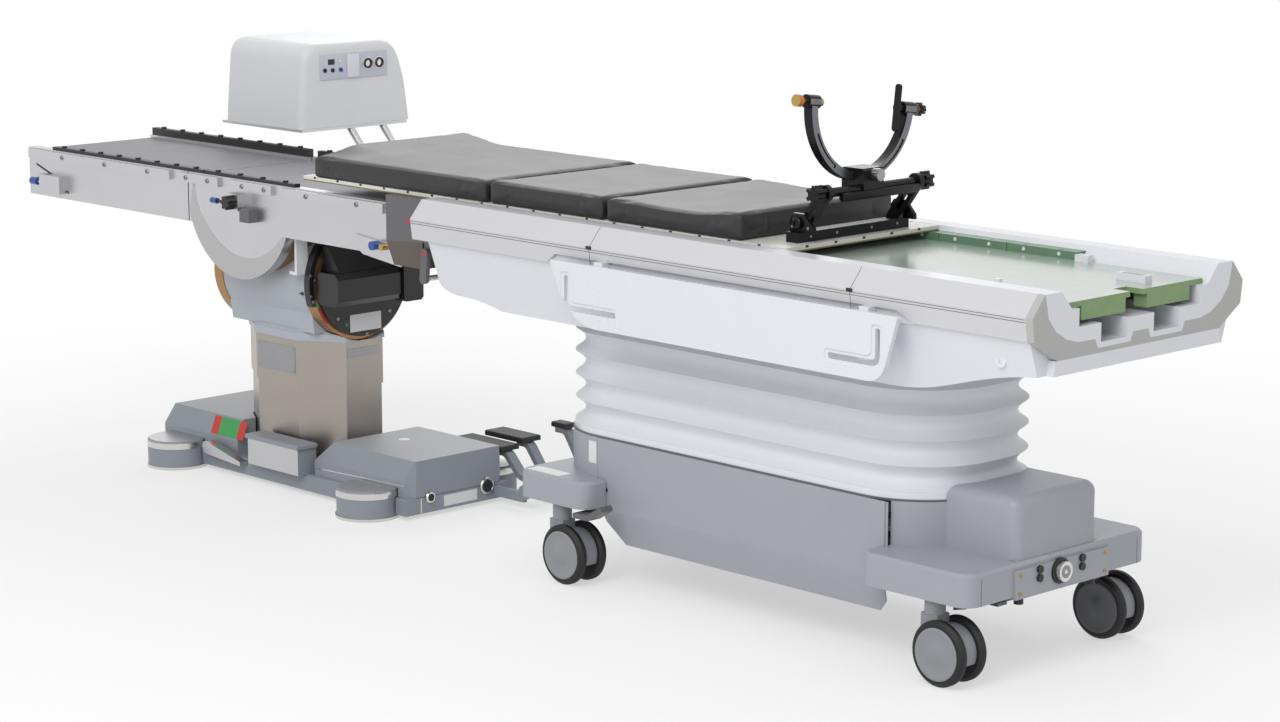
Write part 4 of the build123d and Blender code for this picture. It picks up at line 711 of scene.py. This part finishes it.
def screws(places, axis, radius, height=2.0):
    """One piece with a screw head at each place, each with a round driver recess."""
    rim, hole = radius * 0.9, radius * 0.45
    steps = [(-0.5, radius), (height * 0.7, radius), (height, rim), (height, hole),
             (height * 0.3, hole * 0.9)]
    heads = [turned(places[0], axis, steps, count=20)]
    for place in places[1:]:
        heads.append(duplicate(heads[0]))
        heads[-1].location = mm(*[b - a for a, b in zip(places[0], place)])
        bpy.ops.object.transform_apply()
    return joined(heads)


# %% [markdown]
# ## The three pads
# Each pad is a slab of foam in a tight vinyl cover. The cover pulls the long edges straight and
# lets the top swell a little, and the pad at the column end rises in a soft ridge. A foam slab
# starts as a block a little smaller than the real one. It is remeshed evenly, the cloth solver
# swells it with air pressure, and no point may move more than the foam would allow.

# %% Vinyl
pad_vinyl = finish("charcoal_vinyl_cover", "#212123", 0.47, 0.07, 1.3, 0.06, 110, sheen=0.05)

# %% A foam pad
PAD_MARGIN, PAD_SOFT, PAD_VOXEL, PAD_TOP = 4.0, 5, 5.5, 969
AIR_PRESSURE, SWELL_LIMIT, SWELL_FRAMES = 4, 4.0, 14
LIFT_FROM, LIFT_TO = 8, 6


def smooth_step(value, low, high):
    """0 below low, 1 above high, and a soft rise between them."""
    share = min(1, max(0, (value - low) / (high - low)))
    return share * share * (3 - 2 * share)


def swell(slab, floor_z):
    """Inflate the cover with the cloth solver and cap how far each point has moved."""
    start = [vertex.co.copy() for vertex in slab.data.vertices]
    cloth = slab.modifiers.new("vinyl", "CLOTH")
    cloth.settings.use_pressure = True
    cloth.settings.uniform_pressure_force = AIR_PRESSURE
    cloth.settings.effector_weights.gravity = 0
    cloth.settings.quality = 5
    for number in range(1, SWELL_FRAMES + 1):
        scene.frame_set(number)
    only(slab)
    bpy.ops.object.modifier_apply(modifier=cloth.name)
    scene.frame_set(1)
    furthest = 0
    for vertex, old in zip(slab.data.vertices, start):
        move = vertex.co - old
        if move.length > mm(SWELL_LIMIT):
            move *= mm(SWELL_LIMIT) / move.length
        vertex.co = old + move
        vertex.co.z = max(vertex.co.z, floor_z * MM)
        furthest = max(furthest, move.length)
    print("cover moved up to", round(furthest / MM, 1), "mm")


def foam_pad(name, node_name, lift):
    """One pad in the place of its packed slab; lift(left, y, right) raises its top, in millimetres."""
    low, high = (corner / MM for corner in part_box(node_name))
    inner_low = (low.x + PAD_MARGIN, low.y + PAD_MARGIN, low.z)
    inner_high = (high.x - PAD_MARGIN, high.y - PAD_MARGIN, PAD_TOP - PAD_MARGIN)
    pad = block(inner_low, inner_high, soft=PAD_SOFT, segments=3)
    modify(pad, "REMESH", mode="VOXEL", voxel_size=mm(PAD_VOXEL))
    swell(pad, low.z)
    for vertex in pad.data.vertices:
        x, y, z = vertex.co / MM
        share = smooth_step(z, low.z + LIFT_FROM, PAD_TOP - LIFT_TO)
        vertex.co.z += mm(lift(x - low.x, y, high.x - x)) * share
    modify(pad, "SMOOTH", factor=0.5, iterations=1)
    seat(pad, name, "board", "pad_charcoal", pad_vinyl)
    bpy.ops.object.shade_smooth()
    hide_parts(node_name)


# %% [markdown]
# The pad at the column end rises over its whole width but not at its near edge, and the pad at the
# clamp end lifts a little towards the patient's neck.

# %% The pads in place
RIDGE, CROWN, MIDDLE_CROWN, NECK_RISE, HOLLOW = 19, 3, 1.5, 10, 4


def ridge_lift(left, y, right):
    """The rise of the pad at the column end."""
    across = smooth_step(y, -262, -120)
    return RIDGE * across * (1 - smooth_step(left, 25, 190)) + CROWN * across


def neck_lift(left, y, right):
    """The rise of the pad at the clamp end, with a shallow hollow in its middle."""
    return (NECK_RISE * (1 - smooth_step(right, 0, 170))
            - HOLLOW * smooth_step(left, 60, 200) * smooth_step(right, 60, 200))


foam_pad("pad_column_end", "cushion_head", ridge_lift)
foam_pad("pad_middle", "cushion_middle", lambda left, y, right: MIDDLE_CROWN)
foam_pad("pad_clamp_end", "cushion_foot", neck_lift)


# %% [markdown]
# ## The bellows
# Under the deck a white bellows hides the lifting column. It is a tube of coated fabric with a
# rounded-box outline. Stiff hoops hold it out at each fold, and between the hoops it hangs inwards in a
# hollow curve. It starts as a circle that is pulled apart into the rounded outline, and each small
# step of the fold is an extrusion that is drawn in or let out.

# %% Bellows sizes
BELLOWS_MIDDLE, BELLOWS_HALF_X, BELLOWS_HALF_Y, BELLOWS_CORNER = -92.5, 638.5, 237, 200
BELLOWS_LOW, BELLOWS_HIGH = 388, 651
FOLDS, FOLD_DEPTH, FOLD_STEPS, FOLD_POWER = 4.5, 22, 12, 1.9
HOOP, HOOP_DEPTH = 0.12, 0.1
ROUND_SIDES, HALF_SIDE = 72, 2.5


def fold_draw(share):
    """How far the skin is drawn in, from a hoop at 0 to the next at 1."""
    reach = max(0, (abs(2 * share - 1) - 1 + HOOP) / HOOP)
    hollow = 1 - abs(2 * share - 1) ** FOLD_POWER
    return FOLD_DEPTH * (hollow * (1 - reach) + reach * HOOP_DEPTH * hollow)


# %% Pull the outline apart and fold it upwards
bpy.ops.object.select_all(action="DESELECT")
bpy.ops.mesh.primitive_circle_add(vertices=ROUND_SIDES, radius=mm(BELLOWS_CORNER),
                                  rotation=(0, 0, math.radians(HALF_SIDE)),
                                  location=mm(BELLOWS_MIDDLE, 0, BELLOWS_LOW))
bellows = bpy.context.object
bpy.ops.object.transform_apply()
bpy.ops.object.mode_set(mode="EDIT")
for side in (-1, 1):
    pick(bellows, "VERT", lambda v: (v.co.x / MM - BELLOWS_MIDDLE) * side > 0)
    bpy.ops.transform.translate(value=mm(side * (BELLOWS_HALF_X - BELLOWS_CORNER), 0, 0))
    pick(bellows, "VERT", lambda v: v.co.y * side > 0)
    bpy.ops.transform.translate(value=mm(0, side * (BELLOWS_HALF_Y - BELLOWS_CORNER), 0))
bpy.ops.mesh.select_mode(type="EDGE")
bpy.ops.mesh.select_all(action="SELECT")
bay = (BELLOWS_HIGH - BELLOWS_LOW) / FOLDS
drawn = 0
for step in range(1, int(FOLDS * FOLD_STEPS) + 1):
    share = step / FOLD_STEPS
    wanted = fold_draw(share % 1)
    stretch = [(half - wanted) / (half - drawn) for half in (BELLOWS_HALF_X, BELLOWS_HALF_Y)]
    draw_out(bay / FOLD_STEPS, stretch, (BELLOWS_MIDDLE, 0, BELLOWS_LOW + bay * share))
    drawn = wanted
face_outwards()
bpy.ops.object.mode_set(mode="OBJECT")
print("bellows faces without thickness:", len(bellows.data.polygons))

# %% [markdown]
# The skin gets its thickness.

# %% Skin
SKIN, HELD = 2.5, 2
modify(bellows, "SOLIDIFY", thickness=mm(SKIN), offset=-1)
bpy.ops.object.shade_smooth_by_angle(angle=math.radians(60))
bellows.name = "bellows_skin"
bellows.data.materials.append(bellows_skin)
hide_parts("bellows")
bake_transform(bellows)
print("bellows faces with thickness:", len(bellows.data.polygons))


# %% [markdown]
# ## Fittings of the steel top
# The accessory rails stand off the frame on pins. The turned heads of the pins show in a row along
# the rail, and two slanted slots are cut in the wall near the column end.

# %% Rail pins and wall slots
RAIL_FACE, RAIL_MIDDLE, WALL_FACE = -245, 851, -235
PIN_X = (-2841, -2622, -2408, -2221, -2119, -1959, -1859, -1673, -1456)
SLOTS, SLOT_HALF = ((-2992, 819, -2882, 786), (-2872, 771, -2825, 746)), 3
pins = screws([(x, RAIL_FACE, RAIL_MIDDLE) for x in PIN_X], "-y", 7, 2.6)
seat(pins, "rail_pins", "steel_top", *SCREW)
slots = [plate([(left, high + SLOT_HALF), (right, low + SLOT_HALF), (right, low - SLOT_HALF),
                (left, high - SLOT_HALF)], -0.6, at=WALL_FACE) for left, high, right, low in SLOTS]
seat(slots, "wall_slots", "steel_top", *BLACK)

# %% [markdown]
# The half-round disc that carries the tilting top has a thin turned plate along its lower rim. The
# plate is a crescent between two arcs whose centres lie a little apart.

# %% Disc crescent
CRESCENT_LEFT = -2218
rims = arc((-1990, 825), 237, 172, 335.6, 60) + arc((-1966, 881), 231, 318.2, 185.7, 60)
crescent = plate([point for point in rims if point[0] >= CRESCENT_LEFT], -0.8, at=WALL_FACE)
for side, piece in sides(crescent):
    seat(piece, "disc_crescent_" + side, "steel_top", "stainless", disc_steel)


# %% [markdown]
# ## The instrument case
# A white case stands on the tray at the far side. Its outline has a leaning far wall and broad
# round shoulders, and its two ends are rounded over as well, like a moulded suitcase. The outline is
# drawn in the end view and pushed along the table, then both end loops are bevelled, all but their
# lowest edge, which stands flat on the tray.

# %% Case body
CASE_X, CASE_LOW, CASE_ROUND = (-2782, -2403), 926, 26
CASE_CORNERS = [(305, CASE_LOW), (735, CASE_LOW), (716, 1065), (673, 1179), (327, 1179)]
CASE_REACHES = (0, 0, 45, 62, 58)
case = plate(rounded(CASE_CORNERS, CASE_REACHES), CASE_X[1] - CASE_X[0], plane="yz", at=CASE_X[0])
only(case)
bpy.ops.object.mode_set(mode="EDIT")
for end in CASE_X:
    pick(case, "EDGE", lambda edge: all(abs(v.co.x / MM - end) < 0.1 for v in edge.verts)
         and max(v.co.z / MM for v in edge.verts) > CASE_LOW + 1)
    bpy.ops.mesh.bevel(offset=mm(CASE_ROUND), segments=6, affect="EDGES", profile=0.5)
bpy.ops.object.mode_set(mode="OBJECT")
seat(case, "case_body", "steel_top", "case_white", case_enamel)
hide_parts("instrument_case")

# %% [markdown]
# The connector panel on the near end carries a small display, a button, three small sockets, a
# white plug block and two round sockets.

# %% Case panel
PANEL_FACE, ROUND_Y, ROUND_Z = -2399, (561, 605), 1109
ROUND_SOCKET = [(-1, 16), (5, 16), (6, 15), (6, 10), (1, 9)]
SMALL_SOCKET = [(-1, 6.5), (3, 6.5), (3.6, 5.8), (3.6, 3), (0.5, 3)]
BLUE_SOCKET = [(-1, 6.5), (3.4, 6.5), (4, 5.8), (4, 3), (1, 3)]
socket_plate = block((PANEL_FACE - 5, 382, 1068), (PANEL_FACE, 637, 1144), soft=1.2)
seat(socket_plate, "case_panel", "steel_top", "case_white", socket_grey)
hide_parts("instrument_case")
sockets = [block((PANEL_FACE - 1, 411, 1113), (PANEL_FACE + 1.4, 435, 1129), soft=0.6)]
sockets += [turned((PANEL_FACE, y, ROUND_Z), "x", ROUND_SOCKET) for y in ROUND_Y]
sockets += [turned((PANEL_FACE, y, z), "x", SMALL_SOCKET, count=20) for y, z in ((398, 1097), (427, 1096))]
seat(sockets, "case_sockets", "steel_top", *BLACK)
rings = [turned((PANEL_FACE, y, ROUND_Z), "x", [(-1, 19), (2, 19), (2.6, 18), (2.6, 16)]) for y in ROUND_Y]
rings.append(turned((PANEL_FACE, 455, 1121), "x", [(-1, 4), (2, 4), (2.5, 3.4)], count=20))
seat(rings, "case_socket_rings", "steel_top", *TRIM)
blue_socket = turned((PANEL_FACE, 458, 1096), "x", BLUE_SOCKET, count=20)
seat(blue_socket, "case_blue_socket", "steel_top", "blue_knob", blue_plastic)
plug_block = block((PANEL_FACE - 1, 482, 1071), (PANEL_FACE + 7, 526, 1141), soft=2.5)
seat(plug_block, "case_plug_block", "steel_top", "case_white", white_gloss)


# %% [markdown]
# ## Fittings of the column head
# The roll ring's end shows four steel screws. The black end cap inside it has four more, a blank
# label and a green dot. A green and red arc on the ring marks how far the top may roll.

# %% Screws and marks of the roll ring
RING_FACE, CAP_FACE, MARK_CENTRE = -1746.7, -1734.7, (0, 587)
for name, face, size, places in (
        ("ring_screws", RING_FACE, 4.5, ((-174, 618), (-160, 603), (-174, 560), (-168, 545))),
        ("cap_screws", CAP_FACE, 5, ((-93, 490), (8, 435), (91, 491), (-107, 589)))):
    seat(screws([(face, y, z) for y, z in places], "x", size), name, "roll_head", *SCREW)
cap_label = film((CAP_FACE - 0.4, -50, 446), (CAP_FACE + 0.5, 60, 495))
seat(cap_label, "cap_label", "roll_head", *LABEL)


def ring_mark(start, end, steps):
    """A flat band on the ring between two angles in degrees."""
    band = arc(MARK_CENTRE, 165.5, start, end, steps) + arc(MARK_CENTRE, 158.5, end, start, steps)
    return plate(band, 0.5, "yz", RING_FACE)


green_dot = turned((CAP_FACE, -63, 470), "x", [(-0.4, 4.5), (1, 4.5), (1.4, 4)], count=20)
seat([green_dot, ring_mark(197, 202, 4)], "roll_marks_green", "roll_head", "blue_knob", green_mark)
seat(ring_mark(202, 222, 10), "roll_mark_red", "roll_head", "blue_knob", red_plastic)
pointer = plate([(-1815, 561), (-1797, 556), (-1797, 566)], -3, at=-162)
seat(pointer, "roll_pointer", "column_head", *BLACK)


# %% [markdown]
# ## Fittings of the column and its base
# Two blank plates sit on the column's upper sleeve, one on the near face and one on the end.

# %% Column plates
SLEEVE_FACE, RIVET_X, RIVET_Z = -141.2, (-2033, -1877), (329, 391)
near_plate = film((-2040, SLEEVE_FACE, 322), (-1870, SLEEVE_FACE + 1.6, 398), 0.4)
end_plate = film((-1736.4, -62, 375), (-1735, 52, 400), 0.4)
seat([near_plate, end_plate], "column_plates", "column_head", *BARE)
plate_rivets = screws([(x, SLEEVE_FACE, z) for x in RIVET_X for z in RIVET_Z], "-y", 2.4, 1.0)
seat(plate_rivets, "column_plate_rivets", "column_head", *SCREW)

# %% [markdown]
# The base's end has a blank label between its two sockets, each with a bright ring, and steel trim
# along its corners and its near side. A plain red and green plate marks the left housing's slope.

# %% Base end and trim
BASE_FACE, SOCKET_FACE, SOCKET_Y, SOCKET_Z = -1340, -1333, (100, -102), 54
seat(film((BASE_FACE - 0.4, -51, 20), (BASE_FACE + 0.6, 67, 50)), "base_end_label", "column_base",
     *LABEL)
socket_rings = [turned((SOCKET_FACE, y, SOCKET_Z), "x",
                       [(-6.5, radius + 4), (-2, radius + 4), (0.8, radius + 2), (0.8, radius - 1),
                        (0.1, radius - 1.5)]) for y, radius in zip(SOCKET_Y, (20, 12))]
seat(socket_rings, "base_socket_rings", "column_base", *TRIM)
socket_faces = [turned((SOCKET_FACE, y, SOCKET_Z), "x",
                       [(0, radius), (1.2, radius), (1.2, radius * 0.5), (0.3, radius * 0.45)])
                for y, radius in zip(SOCKET_Y, (17, 10))]
seat(socket_faces, "base_socket_faces", "column_base", *BLACK)
trims = [plate([(-1737, 78), (-1350, 90.5), (-1350, 93), (-1737, 80.5)], -1, at=-172)]
trims += [block((BASE_FACE - 0.5, y - 2, 14), (BASE_FACE + 0.8, y + 2, 56), soft=0.3) for y in (-132, 145)]
seat(trims, "base_trim", "column_base", *TRIM)
top_mark = turned((-1582, 12, 158), "z", [(-0.3, 16), (0.5, 16), (0.8, 15)], count=40)
seat(top_mark, "base_top_mark", "column_base", *LABEL)
SLOPE_OUTLINE = [(-170.9, 103), (-152, 152.8), (-152.9, 153.2), (-171.8, 103.4)]
for name, spans, colour in (("red", ((-2233, -2200), (-2113, -2080)), red_plastic),
                            ("green", ((-2200, -2113),), green_mark)):
    parts = [plate(SLOPE_OUTLINE, right - left, "yz", left) for left, right in spans]
    seat(parts, f"slope_plate_{name}", "column_base", "blue_knob", colour)


# %% [markdown]
# ## The trolley's casters
# Each twin wheel is a black tyre on a grey disc. The disc has a raised rim, a groove and a small
# cap over the axle, so it is turned in one go. The far right pair gets a darker copy of the same grey
# as painted shade.

# %% Wheel discs
TRAIL, STEM_X, STEM_Y, WHEEL_Z, WHEEL_OUT = 43, 610, 283, 75, 45
DISC_STEPS = [(-0.5, 60), (1.5, 60), (2.6, 58), (2.6, 53), (0.8, 50), (0.8, 24), (2.4, 21), (2.4, 13),
              (3.6, 11), (3.6, 5)]
for end, x in (("left", -STEM_X), ("right", STEM_X)):
    for side, y in (("near", -STEM_Y), ("far", STEM_Y)):
        discs = [turned((x + TRAIL, y + way * WHEEL_OUT, WHEEL_Z), axis, DISC_STEPS, count=64)
                 for way, axis in ((-1, "-y"), (1, "y"))]
        # Painted shade: the far right pair's discs take the darker copy of the caster grey.
        disc_finish = shaded_caster_plastic if (end, side) == ("right", "far") else caster_plastic
        seat(discs, f"wheel_discs_{end}_{side}", f"caster_wheel_{end}_{side}", "caster_grey", disc_finish)

# %% [markdown]
# ## The trolley's base
# The end panel has brass screws and a black ring around the round connector's steel face. Blank
# labels sit on the left foot cover, and two black screws hold each side cover.

# %% Connector and end screws
PANEL_END, CONNECTOR_Z = 741, 226
end_screws = screws([(PANEL_END, y, z) for y in (-150, 150) for z in (196, 238)], "x", 4.5)
seat(end_screws, "end_panel_screws", "trolley_base", "bronze", brass)
connector_ring = turned((PANEL_END, CONNECTOR_Y, CONNECTOR_Z), "x",
                        [(-0.5, 30), (4, 30), (6, 27), (6, 23.5), (1, 23.5)], count=48)
seat(connector_ring, "connector_ring", "trolley_base", *BLACK)
connector_pin = turned((PANEL_END + 17, CONNECTOR_Y, CONNECTOR_Z), "x",
                       [(0, 15), (1.6, 15), (2.2, 14), (2.2, 6), (0.2, 5)], count=40)
seat(connector_pin, "connector_face", "trolley_base", *SCREW)
labels = [film((-717, -303, 265.6), (-600, -262, 266.5)), film((-556, -243.5, 300), (-529, -240.5, 355))]
seat(labels, "foot_cover_labels", "trolley_base", *LABEL)
side_screws = screws([(x, -245, 240) for x in (-492, 400)], "-y", 6)
seat(both_sides(side_screws), "side_cover_screws", "trolley_base", *BLACK)

# %% [markdown]
# The drive's cover and the low cover beside it are separate sheets. Thin dark lines stand for the
# gaps between them, and a raised seal runs up each end of the side covers.

# %% Seams of the end cover
END_FACE, SEAM = 735, 1.4
seams = [film((END_FACE - 0.6, y, 190), (END_FACE + 0.4, y + SEAM, 252), 0.1) for y in (-277, 275.6)]
seams += [film((500, y, 264.6), (722, y + SEAM, 265.5), 0.1) for y in (-145.4, 144)]
seat(seams, "end_cover_seams", "trolley_base", "black_metal", dark_enamel)
seals = joined([film((x - 4, -242.2, 196), (x + 7, -240.2, 366), 0.3) for x in (-525, 423)])
seat(both_sides(seals), "side_cover_seals", "trolley_base", *COVER)

# %% [markdown]
# The box over the drive is a deep-drawn cover with generous rounding, cut back where it meets the
# bellows. It is a block with round upright and upper edges, from which the bellows' plan is taken.

# %% Drive cover
HUMP_LOW, HUMP_HIGH, HUMP_SOFT = (498.5, -146.5, 262), (723.5, 146.5, 406.5), 27
HUMP_UPPER, HUMP_UPRIGHT = 300, 50
PLAN_LEFT, PLAN_RIGHT, PLAN_HALF, PLAN_CORNER, PLAN_LOW = -90, 552.3, 243.3, 206.3, 367.2
hump = block(HUMP_LOW, HUMP_HIGH, soft=HUMP_SOFT, segments=7,
             test=lambda edge: min(v.co.z for v in edge.verts) > mm(HUMP_UPPER) or
             abs(edge.verts[0].co.z - edge.verts[1].co.z) > mm(HUMP_UPRIGHT))
plan_x, plan_y = PLAN_RIGHT - PLAN_CORNER, PLAN_HALF - PLAN_CORNER
plan = (arc((plan_x, plan_y), PLAN_CORNER, 0, 90) + [(PLAN_LEFT, PLAN_HALF), (PLAN_LEFT, -PLAN_HALF)]
        + arc((plan_x, -plan_y), PLAN_CORNER, -90, 0))
cut(hump, plate(plan, 80, "xy", PLAN_LOW))
seat(hump, "drive_cover", "trolley_base", *COVER)


# %% [markdown]
# ## Side guards
# A white guard hangs along each side. Its lower corners are round, its edges are soft, and each end
# has an L-shaped grip: a slot right through, in a wider recess that lets the fingers in.

# %% Guard shapes
GUARD_Y, GUARD_THICK, GUARD_SOFT = 383, 12, 2.2
GUARD_CORNERS = [(-530, 827), (-480, 716), (-400, 675), (538, 675), (585, 827)]
GUARD_REACHES = (8, 46, 40, 44, 8)
GRIPS = ([(-482, 794), (-482, 709), (-303, 709), (-303, 723), (-468, 723), (-468, 794)],
         [(532, 794), (532, 709), (379, 709), (379, 723), (518, 723), (518, 794)])
GRIP_REACHES = (6, 26, 6, 6, 13, 6)
RECESS, RECESS_REACH, RECESS_DEPTH = 9, 5, 3.5


def grown(outline, by):
    """A grip's outline moved outwards by some millimetres, corner by corner."""
    (outer, top), (_, low), (inner, _), (_, upper), (inner_edge, _), _ = outline
    way = by if inner > outer else -by
    return [(outer - way, top + by), (outer - way, low - by), (inner + way, low - by),
            (inner + way, upper + by), (inner_edge + way, upper + by), (inner_edge + way, top + by)]


# %% Near guard, and the far one as its mirror
guard = plate(rounded(GUARD_CORNERS, GUARD_REACHES), -GUARD_THICK, at=-GUARD_Y)
for grip in GRIPS:
    wide = rounded(grown(grip, RECESS), [reach + RECESS_REACH for reach in GRIP_REACHES])
    cut(guard, plate(wide, -9, at=RECESS_DEPTH - GUARD_Y - GUARD_THICK, soft=3, segments=3))
    cut(guard, plate(rounded(grip, GRIP_REACHES), -30, at=9 - GUARD_Y))
modify(guard, "BEVEL", width=mm(GUARD_SOFT), segments=3, limit_method="ANGLE", angle_limit=math.radians(50))
for side, piece in sides(guard):
    seat(piece, f"guard_shell_{side}", f"guard_{side}", "guard_grey", guard_plastic)
    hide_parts(f"guard_{side}")
    modify(piece, "WEIGHTED_NORMAL", keep_sharp=True)

# %% [markdown]
# ## Side panels
# Behind the guards a white liner closes the notch in the grey side panels. Two fine grooves run
# along each panel, seams divide it in three, and black clips sit at the seams.

# %% Liner, grooves, seams and clips
LEFT_END, RIGHT_END, SEAM_X = -1084, 914, (-420, 420)
SEAM_OUTLINE = [(-329, 911.3), (-369.4, 864), (-362.4, 812), (-361.4, 812), (-368.4, 864), (-328.4, 910.7)]
liner = block((-580, -353.8, 806), (602, -350, 837), soft=0.8)
seat(both_sides(liner), "notch_liner", "trolley_top", *WHITE)
grooves = [film((LEFT_END, -y - 0.5, z), (RIGHT_END, -y + 0.4, z + 1.2), 0.1)
           for y, z in ((368.4, 859), (367.7, 853))]
grooves += [plate(SEAM_OUTLINE, SEAM, "yz", x) for x in SEAM_X]
seat(both_sides(joined(grooves)), "panel_grooves", "trolley_top", "lever_dark", dark_enamel)
clips = joined([block((x - 9, -371, 860), (x + 9, -368, 868), soft=0.8) for x in SEAM_X])
seat(both_sides(clips), "panel_clips", "trolley_top", "lever_dark", black_plastic)
boss = turned((822, -332, 755), "-y", [(-6, 15), (2, 15), (3.4, 13.5), (3.4, 6), (-2, 5.5)])
seat(both_sides(boss), "cover_bosses", "trolley_top", *WHITE)

# %% [markdown]
# ## Deck fittings
# Each green rail block is held by two pale screws, small orange dots mark the near rail, and the
# white handle has a bare metal patch on top.

# %% Rail screws, dots and handle
BLOCK, RAIL_END_FAR, RAIL_END_NEAR, RAIL_INNER, SCREW_Z, DOT_Z = 208, 575, 620, 230, 891, 900
HOLE_STEP = 52


def dots(radius, places):
    """A flat round dot on the rails at each place."""
    return [turned((x, y, DOT_Z), "z", [(-0.4, radius), (0.2, radius)], count=20) for x, y in places]


far_x = [RAIL_END_FAR - BLOCK * number - inset for number in range(7) for inset in (HOLE_STEP, HOLE_STEP * 3)]
rail_screws = screws([(x, RAIL_INNER, SCREW_Z) for x in far_x], "-y", 4.5, 1.4)
seat(rail_screws, "rail_screws", "trolley_top", "case_white", white_gloss)
near_dots = dots(4, [(RAIL_END_NEAR - BLOCK * number - BLOCK / 2, -250) for number in range(3)])
seat(near_dots, "rail_dots", "trolley_top", "bronze", orange_mark)
holes = dots(5, [(x, 240) for x in far_x if x > 150]
             + [(x, -240) for x in range(160, RAIL_END_NEAR, HOLE_STEP)])
seat(holes, "rail_holes", "trolley_top", *BLACK)
handle_patch = film((812, 89, 896.6), (868, 103, 897.6), 0.3)
seat(handle_patch, "handle_patch", "trolley_top", *BARE)


# %% [markdown]
# ## The board's edge
# A white strip with black notches runs along the board's edges over a thin dark gold core.

# %% Edge strips and notches
BOARD_LEFT, BOARD_RIGHT, BOARD_EDGE, BOARD_LOW, BOARD_HIGH = -1655, 130, 264, 900.3, 912.3
NOTCH_STEP, NOTCH = 97, 9
core_low, core_high = BOARD_LOW + 0.2, BOARD_LOW + 3.4
core = film((BOARD_LEFT + 1, -BOARD_EDGE - 0.6, core_low),
            (BOARD_RIGHT - 1, -BOARD_EDGE + 0.4, core_high), 0.1)
end_core = film((BOARD_RIGHT - 0.4, -BOARD_EDGE + 1, core_low),
                (BOARD_RIGHT + 0.6, BOARD_EDGE - 1, core_high), 0.1)
seat([core, mirrored(core), end_core], "board_core", "board", "bronze", gold_core)
low, high = BOARD_HIGH - 5, BOARD_HIGH + 0.2
notches = joined([film((x, -BOARD_EDGE - 0.7, low), (x + NOTCH, -BOARD_EDGE + 2, high))
                  for x in range(BOARD_LEFT + 45, BOARD_RIGHT - NOTCH, NOTCH_STEP)])
end_notches = [film((BOARD_RIGHT - 2, y, low), (BOARD_RIGHT + 0.7, y + NOTCH, high))
               for y in range(-200, 240, NOTCH_STEP)]
seat([notches, mirrored(notches)] + end_notches, "board_notches", "board", *BLACK)


# %% [markdown]
# ## Fittings of the head clamp
# A flat bar runs in front of the round cross bar, and the frame stands on two hinge brackets with
# bright screws on its foot bar.

# %% Front bar and hinge brackets
FOOT_TOP, FOOT_FACE, BAR_Z, HINGE_FACE = 936, 98, 1030, -180
front_bar = block((160, -118, BAR_Z - 22), (171, 146, BAR_Z - 2), soft=1.5)
straps = [block((149, y, BAR_Z - 20), (162, y + 16, BAR_Z - 4), soft=1) for y in (-110, 118)]
seat([front_bar] + straps, "clamp_front_bar", "board", *CLAMP)
BRACKET = [(60, FOOT_TOP), (134, FOOT_TOP), (134, FOOT_TOP + 12), (104, FOOT_TOP + 44), (70, FOOT_TOP + 44),
           (60, FOOT_TOP + 30)]
bracket = plate(BRACKET, -12, at=-168, soft=1.5)
hinge = turned((87, HINGE_FACE, FOOT_TOP + 22), "-y", [(-0.5, 14), (8, 14), (10, 12), (10, 6), (7, 5)])
seat(both_sides(joined([bracket, hinge])), "clamp_hinges", "board", *CLAMP)
hinge_screws = screws([(x, HINGE_FACE, FOOT_TOP + 12) for x in (118, 68)], "-y", 3.5, 1.6)
foot_screws = screws([(FOOT_FACE, y, 925) for y in (-150, -60, 60, 150)], "x", 3.5, 1.6)
seat([hinge_screws, mirrored(hinge_screws), foot_screws], "clamp_screws", "board", *BARE)
